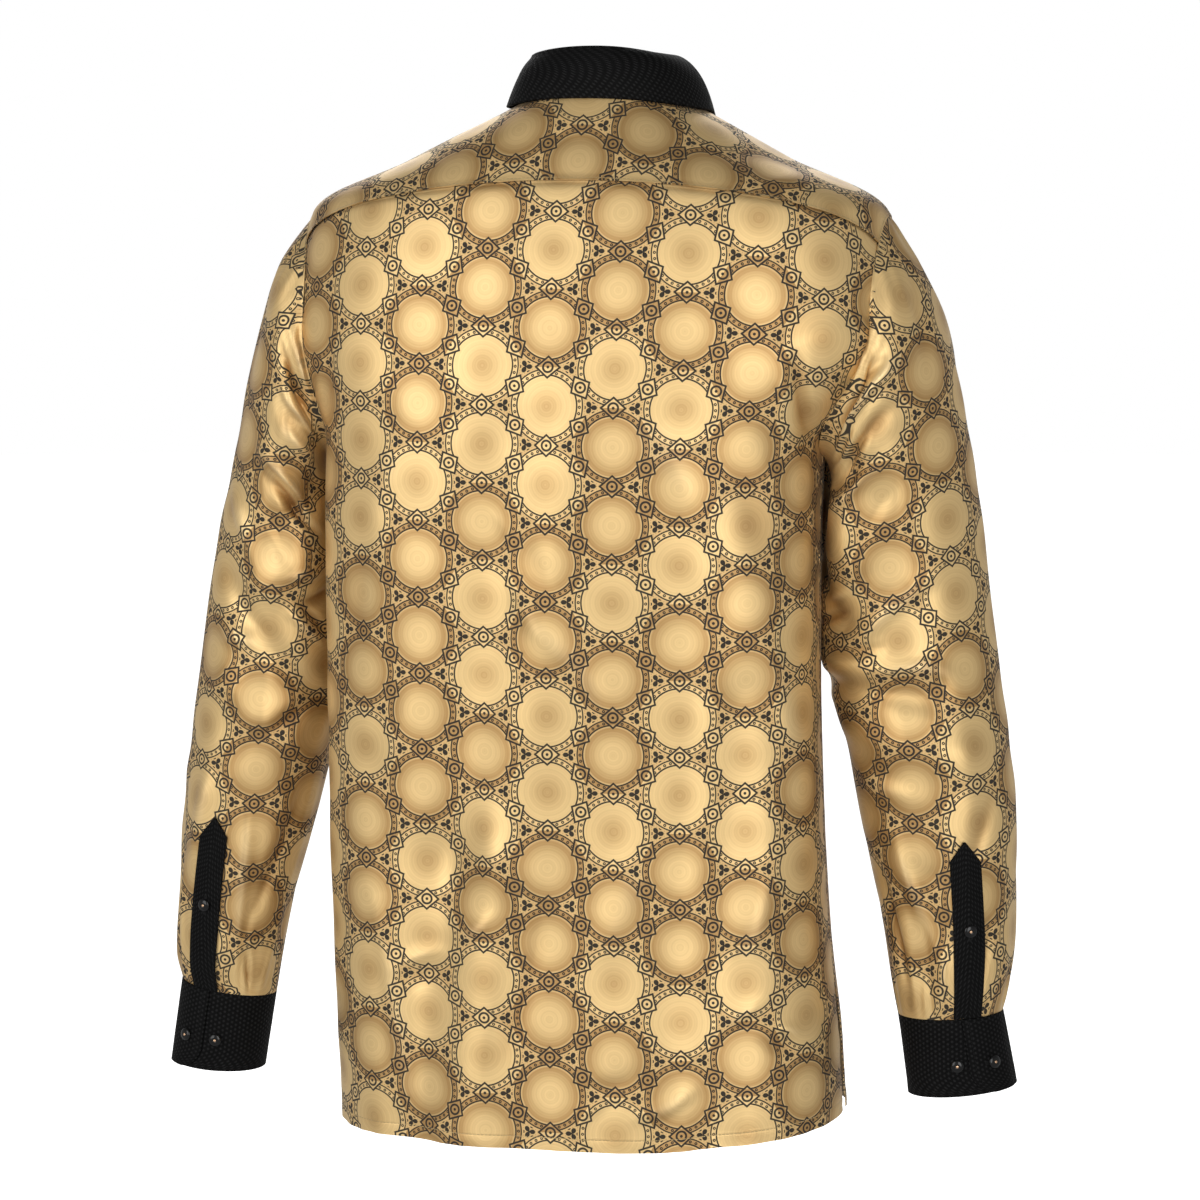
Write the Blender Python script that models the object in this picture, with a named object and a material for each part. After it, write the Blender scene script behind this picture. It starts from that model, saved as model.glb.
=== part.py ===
"""A long-sleeved shirt in patterned satin with black collar, cuffs and plackets.

The shirt keeps the hollow form of a worn garment. +Z is up, the front faces -Y and +X is the wearer's left.
The origin is at the neck, level with the collar seam. Sizes are in millimetres and become metres in each mesh.
"""
import math
from functools import lru_cache

import bmesh
import bpy
from mathutils import Matrix, Vector

MM = 0.001

# Driving sizes
WALL = 1.6
TRIM_WALL = 1.4
SEAM_PULL = 0.32
LAY = 0.35
HEM_ROW = 10.0
UNDERARM_ROW = 4.0
VENT_ROW = 8.3
VENT_OPENING = 3.2
FRONT_OVERLAP = 17.0
FRONT_STRAIGHT = 0.3
BAND_WIDTH = 34.0
PLACKET_WIDTH = 24.0
PLACKET_SHOULDER = 120.0
PLACKET_PEAK = 136.0
PLACKET_LAY = 0.7
CUFF_OVERLAP = 26.0
CUFF_BUTTON_SHARE = 0.6
BUTTON_RADIUS = 5.0
BUTTON_HEIGHT = 3.0

# Rings of the body from the neck seam down. left and right are the side points, z_side their height.
BODY_COLUMNS = ("left", "right", "y_side", "y_back", "y_front", "z_left", "z_right", "z_back", "z_front",
                "square_back", "square_front")
BODY_RINGS = (
    (60, -78, -12, 58, -80, -5, -7, 5, -74, 2.0, 2.0),
    (145, -144, -10, 78, -100, -47, -43, -29, -100, 2.1, 2.1),
    (218, -221, -4, 97, -114, -87, -86, -70, -128, 2.4, 2.3),
    (226, -228, 4, 113, -122, -172, -172, -152, -188, 2.7, 2.3),
    (201, -175, 12, 119, -122, -262, -262, -250, -265, 2.9, 2.2),
    (201, -174, 18, 118, -116, -342, -342, -342, -342, 2.9, 2.1),
    (201, -175, 20, 114, -108, -436, -436, -437, -437, 2.8, 2.1),
    (200, -178, 18, 111, -103, -532, -532, -533, -533, 2.8, 2.1),
    (200, -183, 13, 112, -102, -626, -626, -628, -628, 2.7, 2.2),
    (198, -191, 8, 115, -105, -708, -704, -707, -705, 2.6, 2.3),
    (196, -194, 4, 117, -109, -780, -762, -777, -770, 2.5, 2.4),
)

# The armhole on the body: its row at mid height, and its half widths in degrees to the back and the front.
ARMHOLE_ROW = 3.0
ARMHOLE_BACK = 27.0
ARMHOLE_FRONT = 33.0
YOKE_CORNER = 45.0
YOKE_CENTRE_ROW = 1.78
NECK_CORNER = 100.0

# Rings of the sleeves, after the armhole. along is the distance from it, outer and inner the ring's two edges.
SLEEVE_COLUMNS = ("along", "outer", "z_outer", "inner", "z_inner", "y", "deep")
RIGHT_SLEEVE = (
    (32, 245, -122, 184, -278, 1, 63),
    (76, 262, -164, 181, -302, -6, 65),
    (122, 273, -210, 174, -332, -16, 64),
    (182, 284, -274, 169, -372, -25, 62),
    (250, 294, -345, 168, -414, -30, 60),
    (305, 301, -405, 174, -440, -30, 59),
    (370, 312, -476, 188, -480, -28, 58),
    (440, 319, -550, 202, -546, -26, 54),
    (512, 318, -622, 219, -622, -24, 47),
    (552, 315, -662, 226, -664, -22, 42),
    (576, 311, -685, 231, -690, -21, 36),
)
LEFT_SLEEVE = (
    (32, 243, -120, 207, -272, 0, 63),
    (76, 260, -164, 207, -298, -6, 64),
    (122, 273, -212, 206, -330, -12, 62),
    (182, 288, -276, 205, -370, -17, 60),
    (250, 305, -347, 205, -414, -21, 58),
    (305, 316, -410, 207, -446, -24, 57),
    (370, 327, -484, 215, -490, -26, 56),
    (440, 337, -552, 230, -552, -27, 52),
    (512, 342, -626, 252, -630, -27, 45),
    (552, 344, -668, 261, -676, -27, 40),
    (576, 340, -688, 265, -700, -27, 35),
)
SLEEVES = {"right": RIGHT_SLEEVE, "left": LEFT_SLEEVE}
SLEEVE_END = 576.0

# Each sleeve is one cloth, held as three lengths of tube so that each can be open to the arm.
SLEEVE_LENGTHS = {"upper": (0.0, 192.0), "middle": (192.0, 384.0), "lower": (384.0, SLEEVE_END)}

# The cuffs' lower edges, as the sleeve rings are given, and the overlap's edge in degrees round the sleeve.
CUFF_ENDS = {"right": (322, -742, 239, -752, -24, 37), "left": (351, -755, 276, -761, -30, 36)}
OPENING_ANGLE = {"right": 72.0, "left": 82.0}
PLACKET_ANGLE = {"right": 65.0, "left": 76.0}
CUFF_BUTTONS = {"right": (44.0, 84.0), "left": (60.0, 97.0)}

# Rings of the collar: half width, centre y, half depth, and the heights at back, side and front.
COLLAR_CENTRE_X = -9.0
COLLAR_COLUMNS = ("half_width", "y", "half_depth", "z_back", "z_side", "z_front")
STAND_RISE = 1.3
STAND_TOP = (56.0, -6.0, 62.0, 36.0, 30.0, -44.0)
FALL_TOP = (58.5, -6.0, 64.5, 38.5, 32.5, -42.0)
COLLAR_SPREAD = 20.0
FALL_ROW = 0.17
FALL_SIDE_ROW = 0.10
FALL_POINT_ROW = 0.95
FALL_POINT_START = 95.0
FALL_CLEAR = 2.8
FALL_BELLY = 2.5

# The largest folds. Each runs between two points, with a half width and a height, negative in a trough.
BACK_FOLDS = (
    (-8, -230, 48, -560, 26, 3.5),
    (48, -560, 74, -770, 24, 4.5),
    (38, -250, 92, -560, 26, -4.0),
    (92, -560, 122, -770, 24, -5.5),
    (-96, -420, -60, -765, 30, 3.0),
    (-128, -440, -112, -765, 20, -3.5),
    (168, -520, 150, -765, 20, 3.0),
)
FRONT_FOLDS = (
    (-70, -250, -96, -760, 28, 3.5),
    (-112, -300, -130, -760, 24, -3.5),
    (66, -230, 88, -760, 26, 3.0),
    (112, -320, 126, -760, 24, -4.0),
)
SLEEVE_FOLDS = {
    "right": (
        (135, 40, 95, 150, 13, -5.0),
        (160, 60, 118, 185, 13, 4.5),
        (185, 110, 128, 235, 12, -5.0),
        (215, 200, 110, 300, 15, 4.0),
        (170, 300, 80, 330, 14, -5.5),
        (190, 345, 60, 380, 16, 4.0),
        (250, 300, 320, 350, 16, -4.5),
        (96, 470, 112, 560, 12, -3.0),
        (210, 440, 260, 560, 14, 3.0),
    ),
    "left": (
        (130, 50, 80, 130, 13, 4.0),
        (150, 80, 100, 175, 12, -5.0),
        (165, 130, 95, 235, 13, 4.0),
        (60, 255, 150, 330, 14, -5.0),
        (70, 330, 160, 395, 15, 4.0),
        (215, 260, 300, 330, 15, -4.5),
        (200, 400, 250, 540, 14, 3.5),
        (22, 430, 34, 560, 12, -3.0),
    ),
}

# How finely each piece is divided
BACK_ACROSS = 24
SLEEVE_ROUND = 24
SIDE_ROWS = 14
YOKE_ROWS = 5
FRONT_ACROSS = 10
SLEEVE_DOWN = 8
COLLAR_ROUND = 32
BUTTON_SIDES = 10

MATERIALS = {
    "patterned_satin": ((0.62, 0.44, 0.20), 0.38, 0.0),
    "black_weave": ((0.012, 0.012, 0.013), 0.75, 0.0),
    "black_gloss": ((0.010, 0.010, 0.010), 0.12, 0.0),
}


def clear_scene():
    for old in list(bpy.data.objects):
        bpy.data.objects.remove(old, do_unlink=True)


def material(name):
    found = bpy.data.materials.get(name)
    if found:
        return found
    colour, rough, metal = MATERIALS[name]
    made = bpy.data.materials.new(name)
    made.use_nodes = True
    shader = made.node_tree.nodes["Principled BSDF"]
    shader.inputs["Base Color"].default_value = (*colour, 1.0)
    shader.inputs["Roughness"].default_value = rough
    shader.inputs["Metallic"].default_value = metal
    return made


def smooth_run(stops, values, at):
    """The value at a stop or between two, on a smooth curve through all of them."""
    at = min(max(at, stops[0]), stops[-1])
    here = 0
    while here < len(stops) - 2 and at > stops[here + 1]:
        here += 1

    def slope(k):
        """Level at a peak or a dip, so that the curve never passes beyond the values."""
        if k in (0, len(stops) - 1):
            step = 1 if k == 0 else -1
            return (values[k + step] - values[k]) / (stops[k + step] - stops[k])
        before = (values[k] - values[k - 1]) / (stops[k] - stops[k - 1])
        after = (values[k + 1] - values[k]) / (stops[k + 1] - stops[k])
        if before * after <= 0:
            return 0.0
        return 2.0 * before * after / (before + after)

    span = stops[here + 1] - stops[here]
    u = (at - stops[here]) / span
    start = (2 * u**3 - 3 * u**2 + 1) * values[here] + (u**3 - 2 * u**2 + u) * span * slope(here)
    end = (3 * u**2 - 2 * u**3) * values[here + 1] + (u**3 - u**2) * span * slope(here + 1)
    return start + end


@lru_cache(maxsize=4096)
def body_ring(row):
    stops = list(range(len(BODY_RINGS)))
    return {name: smooth_run(stops, [ring[k] for ring in BODY_RINGS], row)
            for k, name in enumerate(BODY_COLUMNS)}


def body_form(angle, row):
    """The body without folds. The angle is 0 at the centre back, 90 at the wearer's left and 180 at the front."""
    ring = body_ring(round(row, 6))
    angle = (angle + 180.0) % 360.0 - 180.0
    turn = math.radians(angle)
    across = math.sin(turn)
    deep = math.cos(turn)
    at_back = deep > 0
    square = ring["square_back"] if at_back else ring["square_front"]
    stretch = (abs(across) ** square + abs(deep) ** square) ** (-1.0 / square)
    z_side = ring["z_left"] if across > 0 else ring["z_right"]
    y_end = ring["y_back"] if at_back else ring["y_front"]
    z_end = ring["z_back"] if at_back else ring["z_front"]
    middle = 0.5 * (ring["left"] + ring["right"])
    half = 0.5 * (ring["left"] - ring["right"])
    held = 1.0 if at_back else FRONT_STRAIGHT
    x = half * across * stretch + middle * (across**2 + held * deep**2)
    y = ring["y_side"] + abs(y_end - ring["y_side"]) * deep * stretch
    z = z_side + (z_end - z_side) * deep**2
    return Vector((x, y, z))


def stroke_height(strokes, a, b):
    """How far the folds lift the cloth at a place, from the strokes near it."""
    lift = 0.0
    for from_a, from_b, to_a, to_b, half_width, height in strokes:
        da = to_a - from_a
        db = to_b - from_b
        along = ((a - from_a) * da + (b - from_b) * db) / (da * da + db * db)
        held = min(max(along, 0.0), 1.0)
        away = math.hypot(a - from_a - held * da, b - from_b - held * db)
        lift += height * math.exp(-(away / half_width) ** 2)
    return lift


def normal_of(form, a, b, step_a, step_b):
    """The unit normal of a form, and its point."""
    here = form(a, b)
    along_a = form(a + step_a, b) - form(a - step_a, b)
    along_b = form(a, b + step_b) - form(a, b - step_b)
    return here, along_a.cross(along_b).normalized()


def body_point(angle, row, out=0.0):
    """A point on the body's cloth and its outward normal."""
    row = min(max(row, 0.0), HEM_ROW)
    inside = min(max(row, 0.02), HEM_ROW - 0.02)
    here, normal = normal_of(body_form, angle, inside, 0.5, 0.02)
    here = body_form(angle, row)
    if normal.dot(Vector((here.x, here.y, 60.0 if row < 2 else 0.0))) < 0:
        normal.negate()
    fade = min(max((row - 2.2) / 1.5, 0.0), 1.0)
    folds = BACK_FOLDS if here.y > 0 else FRONT_FOLDS
    side = min(abs(here.y) / 50.0, 1.0)
    lift = stroke_height(folds, here.x, here.z) * fade * side
    return here + normal * (lift + out), normal


def armhole_place(turn):
    """The armhole's place on the body, as an angle from the back and a row. Turn 0 is its top, 90 its back."""
    lean = math.sin(math.radians(turn))
    width = ARMHOLE_BACK if lean > 0 else ARMHOLE_FRONT
    return 90.0 - width * lean, ARMHOLE_ROW - math.cos(math.radians(turn))


def armhole_turn(row):
    return math.degrees(math.acos(min(max(ARMHOLE_ROW - row, -1.0), 1.0)))


def back_edge(row):
    if row >= UNDERARM_ROW:
        return 90.0 - vent_angle(row)
    return armhole_place(armhole_turn(row))[0]


def vent_angle(row):
    return VENT_OPENING * min(max((row - VENT_ROW) / 0.5, 0.0), 1.0)


YOKE_CORNER_ROW = armhole_place(YOKE_CORNER)[1]
YOKE_CORNER_ANGLE = armhole_place(YOKE_CORNER)[0]


def yoke_row(share):
    """The row of the back yoke seam, from the centre back (0) to either armhole (1)."""
    return YOKE_CENTRE_ROW + (YOKE_CORNER_ROW - YOKE_CENTRE_ROW) * abs(share) ** 2.2


ARMHOLE_STEP = 360.0 / SLEEVE_ROUND
CORNER_STEPS = round(YOKE_CORNER / ARMHOLE_STEP)
ARMHOLE_ROWS = [armhole_place(ARMHOLE_STEP * k)[1] for k in range(CORNER_STEPS, SLEEVE_ROUND // 2 + 1)]
LOWER_ROWS = [UNDERARM_ROW + (HEM_ROW - UNDERARM_ROW) * k / SIDE_ROWS for k in range(1, SIDE_ROWS + 1)]
BACK_ROWS = ARMHOLE_ROWS + LOWER_ROWS


def back_place(u, v):
    share = 2.0 * u - 1.0
    edge_row = BACK_ROWS[round(v * (len(BACK_ROWS) - 1))]
    down = (edge_row - YOKE_CORNER_ROW) / (HEM_ROW - YOKE_CORNER_ROW)
    top = yoke_row(share)
    row = top + (HEM_ROW - top) * down
    return body_point(share * back_edge(edge_row), row)


YOKE_SIDE = 2 * CORNER_STEPS
YOKE_ACROSS = BACK_ACROSS + 2 * YOKE_SIDE


def yoke_place(u, v):
    """The yoke from its front edge at the wearer's right, round the back of the neck, to that at the left."""
    column = round(u * YOKE_ACROSS) - YOKE_ACROSS // 2
    side = 1.0 if column > 0 else -1.0
    past = abs(column) - BACK_ACROSS // 2
    inner_corner = 62.0
    if past <= 0:
        share = column / (BACK_ACROSS // 2)
        outer_row = yoke_row(share)
        outer_angle = share * YOKE_CORNER_ANGLE
        inner_angle = share * inner_corner
    else:
        turn = YOKE_CORNER - past * ARMHOLE_STEP
        outer_angle, outer_row = armhole_place(turn)
        outer_angle *= side
        inner_angle = side * (inner_corner + (NECK_CORNER - inner_corner) * past / YOKE_SIDE)
    angle = inner_angle + (outer_angle - inner_angle) * v
    return body_point(angle, outer_row * v)


FRONT_CORNER_ANGLE = armhole_place(-YOKE_CORNER)[0]
FRONT_ROWS = [YOKE_CORNER_ROW * k / YOKE_ROWS for k in range(YOKE_ROWS)] + BACK_ROWS


def front_edge(row):
    if row <= YOKE_CORNER_ROW:
        return NECK_CORNER + (FRONT_CORNER_ANGLE - NECK_CORNER) * row / YOKE_CORNER_ROW
    if row < UNDERARM_ROW:
        return armhole_place(-armhole_turn(row))[0]
    return 90.0 + vent_angle(row)


def overlap_angle(row):
    """How far past the centre front a front reaches, in degrees."""
    ring = body_ring(round(row, 6))
    return math.degrees(math.atan2(FRONT_OVERLAP, -ring["y_front"]))


def front_place(side):
    under = side < 0

    def place(u, v):
        row = FRONT_ROWS[round(v * (len(FRONT_ROWS) - 1))]
        start = front_edge(row)
        end = 180.0 + overlap_angle(row)
        angle = start + (end - start) * u
        near = min(max((angle - 145.0) / 20.0, 0.0), 1.0)
        step_in = -(WALL + 2 * LAY + 0.6) * near if under else 0.0
        return body_point(side * angle, row, step_in)

    return place


def band_place(u, v):
    """The strip on the left front's edge, laid on it."""
    row = FRONT_ROWS[round(v * (len(FRONT_ROWS) - 1))]
    half = overlap_angle(row) * BAND_WIDTH / (2 * FRONT_OVERLAP)
    row = min(max(row, 0.012), HEM_ROW - 0.01)
    return body_point(180.0 - half * (2 * u - 1) * 0.985, row, LAY + TRIM_WALL)


@lru_cache(maxsize=8192)
def sleeve_ring(side, along):
    rows = SLEEVES[side]
    stops = [row[0] for row in rows]
    return {name: smooth_run(stops, [row[k] for row in rows], along)
            for k, name in enumerate(SLEEVE_COLUMNS)}


def ring_point(side, ring, turn):
    """A point of a sleeve's ring. Turn 0 is its outer edge and 90 its back."""
    angle = math.radians(turn)
    middle = 0.5 * (ring["outer"] + ring["inner"])
    half = 0.5 * (ring["outer"] - ring["inner"])
    z_middle = 0.5 * (ring["z_outer"] + ring["z_inner"])
    z_half = 0.5 * (ring["z_outer"] - ring["z_inner"])
    sign = 1.0 if side == "left" else -1.0
    x = sign * (middle + half * math.cos(angle))
    y = ring["y"] + ring["deep"] * math.sin(angle)
    z = z_middle + z_half * math.cos(angle)
    return Vector((x, y, z))


def armhole_point(side, turn):
    sign = 1.0 if side == "left" else -1.0
    angle, row = armhole_place(turn)
    return body_form(sign * angle, row)


def sleeve_form(side, turn, along):
    """The sleeve without folds: it leaves the armhole's own curve and eases into its rings."""
    first = SLEEVES[side][0][0]
    second = SLEEVES[side][1][0]
    if along >= second:
        return ring_point(side, sleeve_ring(side, round(along, 4)), turn)
    hole = armhole_point(side, turn)
    near = ring_point(side, sleeve_ring(side, first), turn)
    next_ring = ring_point(side, sleeve_ring(side, second), turn)
    third = ring_point(side, sleeve_ring(side, SLEEVES[side][2][0]), turn)
    stops = (0.0, first, second, SLEEVES[side][2][0])
    return Vector([smooth_run(stops, values, along) for values in zip(hole, near, next_ring, third)])


def sleeve_point(side, turn, along, out=0.0):
    """A point on the sleeve's cloth and its outward normal."""
    inside = min(max(along, 1.0), SLEEVE_END - 1.0)
    here, normal = normal_of(lambda a, b: sleeve_form(side, a, b), turn, inside, 2.0, 1.0)
    centre = 0.5 * (sleeve_form(side, 0.0, inside) + sleeve_form(side, 180.0, inside))
    if normal.dot(here - centre) < 0:
        normal.negate()
    here = sleeve_form(side, turn, along)
    fade = min(along / 50.0, (SLEEVE_END - along) / 30.0, 1.0)
    degree_mm = 1.08
    lift = 0.0
    for shift in (-360.0, 0.0, 360.0):
        strokes = [(s[0] * degree_mm, s[1], s[2] * degree_mm, s[3], s[4], s[5]) for s in SLEEVE_FOLDS[side]]
        lift += stroke_height(strokes, (turn % 360.0 + shift) * degree_mm, along)
    if lift > 0:
        facing_body = math.exp(-((turn % 360.0 - 185.0) / 40.0) ** 2)
        lift *= 1.0 - facing_body
    return here + normal * (lift * fade + out), normal


def sleeve_place(side, start, end):
    def place(u, v):
        return sleeve_point(side, 360.0 * u, start + (end - start) * v)

    return place


def cuff_form(side, turn, share):
    """The cuff from the sleeve's end (0) to its own lower edge (1)."""
    end = dict(zip(SLEEVE_COLUMNS[1:], CUFF_ENDS[side]))
    top = ring_point(side, sleeve_ring(side, SLEEVE_END), turn)
    foot = ring_point(side, end, turn)
    return top.lerp(foot, share)


def cuff_point(side, turn, share, out=0.0):
    inside = min(max(share, 0.02), 0.98)
    here, normal = normal_of(lambda a, b: cuff_form(side, a, b), turn, inside, 2.0, 0.02)
    centre = 0.5 * (cuff_form(side, 0.0, inside) + cuff_form(side, 180.0, inside))
    if normal.dot(here - centre) < 0:
        normal.negate()
    here = cuff_form(side, turn, share)
    return here + normal * out, normal


CUFF_RADIUS = 39.0
CUFF_LAP = math.degrees(CUFF_OVERLAP / CUFF_RADIUS)
CUFF_RISE = TRIM_WALL + LAY + 0.5
CUFF_EASE = 60.0


def cuff_lift(side, turn):
    """How far the covering end stands off the other, fading away from the opening."""
    over = 1.0 - min(max((OPENING_ANGLE[side] - turn) / CUFF_EASE, 0.0), 1.0)
    return CUFF_RISE * math.sqrt(over)


def cuff_place(side):
    """The cuff as a strip round the wrist: its covering end lies on the outer side over the other end."""
    def place(u, v):
        turn = OPENING_ANGLE[side] - (360.0 + CUFF_LAP) * u
        return cuff_point(side, turn, v, cuff_lift(side, turn))

    return place


def placket_place(side):
    """The strip above the cuff's opening, laid on the sleeve, with a pointed top."""
    def place(u, v):
        across = 2 * u - 1
        top = PLACKET_SHOULDER + (PLACKET_PEAK - PLACKET_SHOULDER) * (1 - abs(across))
        along = SLEEVE_END - 1.0 - (top - 1.0) * (1 - v)
        middle = sleeve_form(side, PLACKET_ANGLE[side], along)
        beside = sleeve_form(side, PLACKET_ANGLE[side] + 1.0, along)
        degree_mm = (beside - middle).length
        narrow = 1.0 - 0.12 * max(0.0, (v - 0.6) / 0.4)
        turn = PLACKET_ANGLE[side] + across * narrow * PLACKET_WIDTH / (2 * degree_mm)
        return sleeve_point(side, turn, along, PLACKET_LAY + TRIM_WALL)

    return place


def collar_point(ring, angle):
    """A point on a collar ring. The angle is 0 at the back and 180 at the front."""
    row = dict(zip(COLLAR_COLUMNS, ring))
    turn = math.radians(angle)
    x = COLLAR_CENTRE_X + row["half_width"] * math.sin(turn)
    y = row["y"] + row["half_depth"] * math.cos(turn)
    end = row["z_back"] if math.cos(turn) > 0 else row["z_front"]
    z = row["z_side"] + (end - row["z_side"]) * math.cos(turn) ** 2
    return Vector((x, y, z))


def away_from_neck(point):
    return Vector((point.x - COLLAR_CENTRE_X, point.y + 8.0, 0.0)).normalized()


def stand_place(u, v):
    """The stand, from its end under the front overlap round to the end that covers it."""
    lap = 8.0
    angle = -180.0 - lap + (360.0 + 2 * lap) * u
    over = min(max((angle - 130.0) / 40.0, 0.0), 1.0)
    under = min(max((-130.0 - angle) / 40.0, 0.0), 1.0)
    foot = body_form(angle, 0.0) + Vector((0.0, 0.0, STAND_RISE))
    here = collar_point(STAND_TOP, angle).lerp(foot, v)
    normal = away_from_neck(here)
    return here + normal * 1.3 * (over - under), normal


def fall_foot(angle):
    """The fall's lower edge, just clear of the cloth below it. Its points reach further down the fronts."""
    reach = min(max((abs(angle) - FALL_POINT_START) / (180.0 - COLLAR_SPREAD - FALL_POINT_START), 0.0), 1.0)
    side = math.sin(math.radians(angle)) ** 2
    edge = FALL_ROW + (FALL_SIDE_ROW - FALL_ROW) * side
    row = edge + (FALL_POINT_ROW - edge) * reach**1.6
    return body_point(angle, row, FALL_CLEAR)[0]


def fall_place(u, v):
    """The fall: it turns over above the stand and hangs outside it, with points at the front."""
    angle = (2 * u - 1) * (180.0 - COLLAR_SPREAD)
    here = collar_point(FALL_TOP, angle).lerp(fall_foot(angle), v)
    normal = (away_from_neck(here) + Vector((0, 0, 0.35))).normalized()
    return here + normal * FALL_BELLY * math.sin(math.pi * v), normal


def cloth(name, across, down, place, wall, look, tube=False):
    """A piece of cloth: a grid set on its form, drawn back from its seams and given its wall."""
    mesh = bpy.data.meshes.new(name)
    bm = bmesh.new()
    bmesh.ops.create_grid(bm, x_segments=across, y_segments=down, size=1.0)
    outward = bm.verts.layers.float_vector.new("outward")
    for vert in bm.verts:
        u = round((vert.co.x + 1.0) / 2.0 * across) / across
        v = round((1.0 - vert.co.y) / 2.0 * down) / down
        vert.co, vert[outward] = place(u, v)
    if tube:
        bmesh.ops.remove_doubles(bm, verts=bm.verts, dist=0.001)
    draw_back_edges(bm)
    outer = list(bm.faces)
    made = bmesh.ops.extrude_face_region(bm, geom=outer, use_keep_orig=True)
    for vert in made["geom"]:
        if isinstance(vert, bmesh.types.BMVert):
            vert.co -= vert[outward] * wall
    bmesh.ops.recalc_face_normals(bm, faces=bm.faces)
    bmesh.ops.scale(bm, vec=(MM, MM, MM), verts=bm.verts)
    bm.to_mesh(mesh)
    bm.free()
    mesh.shade_smooth()
    mesh.set_sharp_from_angle(angle=math.radians(60))
    piece = bpy.data.objects.new(name, mesh)
    bpy.context.collection.objects.link(piece)
    piece.data.materials.append(material(look))
    return piece


def draw_back_edges(bm):
    """Moves each edge of a sheet a little into it, which leaves the seams' gaps."""
    moves = {}
    for vert in bm.verts:
        if not vert.is_boundary:
            continue
        inner = [edge.other_vert(vert).co for edge in vert.link_edges if not edge.is_boundary]
        if not inner:
            inner = [edge.other_vert(vert).co for edge in vert.link_edges]
        middle = sum(inner, Vector()) / len(inner)
        moves[vert] = (middle - vert.co).normalized() * SEAM_PULL
    for vert, move in moves.items():
        vert.co += move


def button(name, point, normal):
    """A low domed button, its axis along the cloth's normal."""
    mesh = bpy.data.meshes.new(name)
    bm = bmesh.new()
    bmesh.ops.create_uvsphere(bm, u_segments=BUTTON_SIDES, v_segments=5, radius=1.0)
    flat = (BUTTON_RADIUS * MM, BUTTON_RADIUS * MM, 0.5 * BUTTON_HEIGHT * MM)
    bmesh.ops.scale(bm, vec=flat, verts=bm.verts)
    centre = point + normal * (LAY + 0.5 * BUTTON_HEIGHT)
    place = Matrix.Translation(centre * MM) @ normal.to_track_quat("Z", "Y").to_matrix().to_4x4()
    bmesh.ops.transform(bm, matrix=place, verts=bm.verts)
    bm.to_mesh(mesh)
    bm.free()
    mesh.shade_smooth()
    piece = bpy.data.objects.new(name, mesh)
    bpy.context.collection.objects.link(piece)
    piece.data.materials.append(material("black_gloss"))
    return piece


def make_body():
    cloth("back", BACK_ACROSS, len(BACK_ROWS) - 1, back_place, WALL, "patterned_satin")
    cloth("yoke", YOKE_ACROSS, YOKE_ROWS, yoke_place, WALL, "patterned_satin")
    rows = len(FRONT_ROWS) - 1
    cloth("front_left", FRONT_ACROSS, rows, front_place(1.0), WALL, "patterned_satin")
    cloth("front_right", FRONT_ACROSS, rows, front_place(-1.0), WALL, "patterned_satin")
    cloth("front_band", 2, rows, band_place, TRIM_WALL, "black_weave")


def make_collar():
    cloth("collar_stand", COLLAR_ROUND, 2, stand_place, WALL, "black_weave")
    cloth("collar_fall", COLLAR_ROUND, 4, fall_place, WALL, "black_weave")


def make_sleeve(side):
    for length, (start, end) in SLEEVE_LENGTHS.items():
        place = sleeve_place(side, start, end)
        cloth(f"sleeve_{side}_{length}", SLEEVE_ROUND, SLEEVE_DOWN, place, WALL, "patterned_satin", tube=True)
    cloth(f"cuff_{side}", SLEEVE_ROUND + 2, 3, cuff_place(side), TRIM_WALL, "black_weave")
    cloth(f"placket_{side}", 4, 10, placket_place(side), TRIM_WALL, "black_weave")
    for number, turn in enumerate(CUFF_BUTTONS[side], 1):
        lift = cuff_lift(side, turn) if turn < OPENING_ANGLE[side] else 0.0
        button(f"button_cuff_{side}_{number}", *cuff_point(side, turn, CUFF_BUTTON_SHARE, lift))
    button(f"button_placket_{side}", *placket_place(side)(0.5, 0.5))


def make_front_buttons():
    count = 6
    for number in range(count):
        row = 1.1 + (8.6 - 1.1) * number / (count - 1)
        point, normal = body_point(180.0, row, LAY + TRIM_WALL + 0.3)
        button(f"button_front_{number + 1}", point, normal)


def main():
    clear_scene()
    make_body()
    make_collar()
    for side in ("left", "right"):
        make_sleeve(side)
    make_front_buttons()


main()
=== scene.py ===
"""A long-sleeved shirt in gold patterned satin with black collar, cuffs and plackets.

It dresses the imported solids. +Z is up, the front faces -Y and +X is the wearer's left. Forms are worked out
in millimetres.
"""
import math

import bmesh
import bpy
import numpy as np
from mathutils import Matrix, Vector


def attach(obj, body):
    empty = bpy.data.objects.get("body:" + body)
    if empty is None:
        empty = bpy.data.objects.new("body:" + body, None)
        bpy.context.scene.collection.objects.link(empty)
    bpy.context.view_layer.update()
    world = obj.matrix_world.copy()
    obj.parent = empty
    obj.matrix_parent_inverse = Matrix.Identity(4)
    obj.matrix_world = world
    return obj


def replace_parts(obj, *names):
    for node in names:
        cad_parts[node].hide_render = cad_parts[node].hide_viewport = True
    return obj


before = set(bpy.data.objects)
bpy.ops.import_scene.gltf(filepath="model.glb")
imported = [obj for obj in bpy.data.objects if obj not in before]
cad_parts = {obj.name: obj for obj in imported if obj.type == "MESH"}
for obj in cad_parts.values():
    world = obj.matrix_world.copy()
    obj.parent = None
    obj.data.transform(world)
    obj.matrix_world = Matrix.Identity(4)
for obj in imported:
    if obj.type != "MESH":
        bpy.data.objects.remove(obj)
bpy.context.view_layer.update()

bl_info = {
    "name": "Patterned Satin Shirt",
    "version": (1, 0, 0),
    "blender": (4, 5, 0),
    "location": "View3D > Sidebar > Shirt",
    "description": "Dresses the solids of a long-sleeved shirt in cloth",
    "category": "Object",
}

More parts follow.
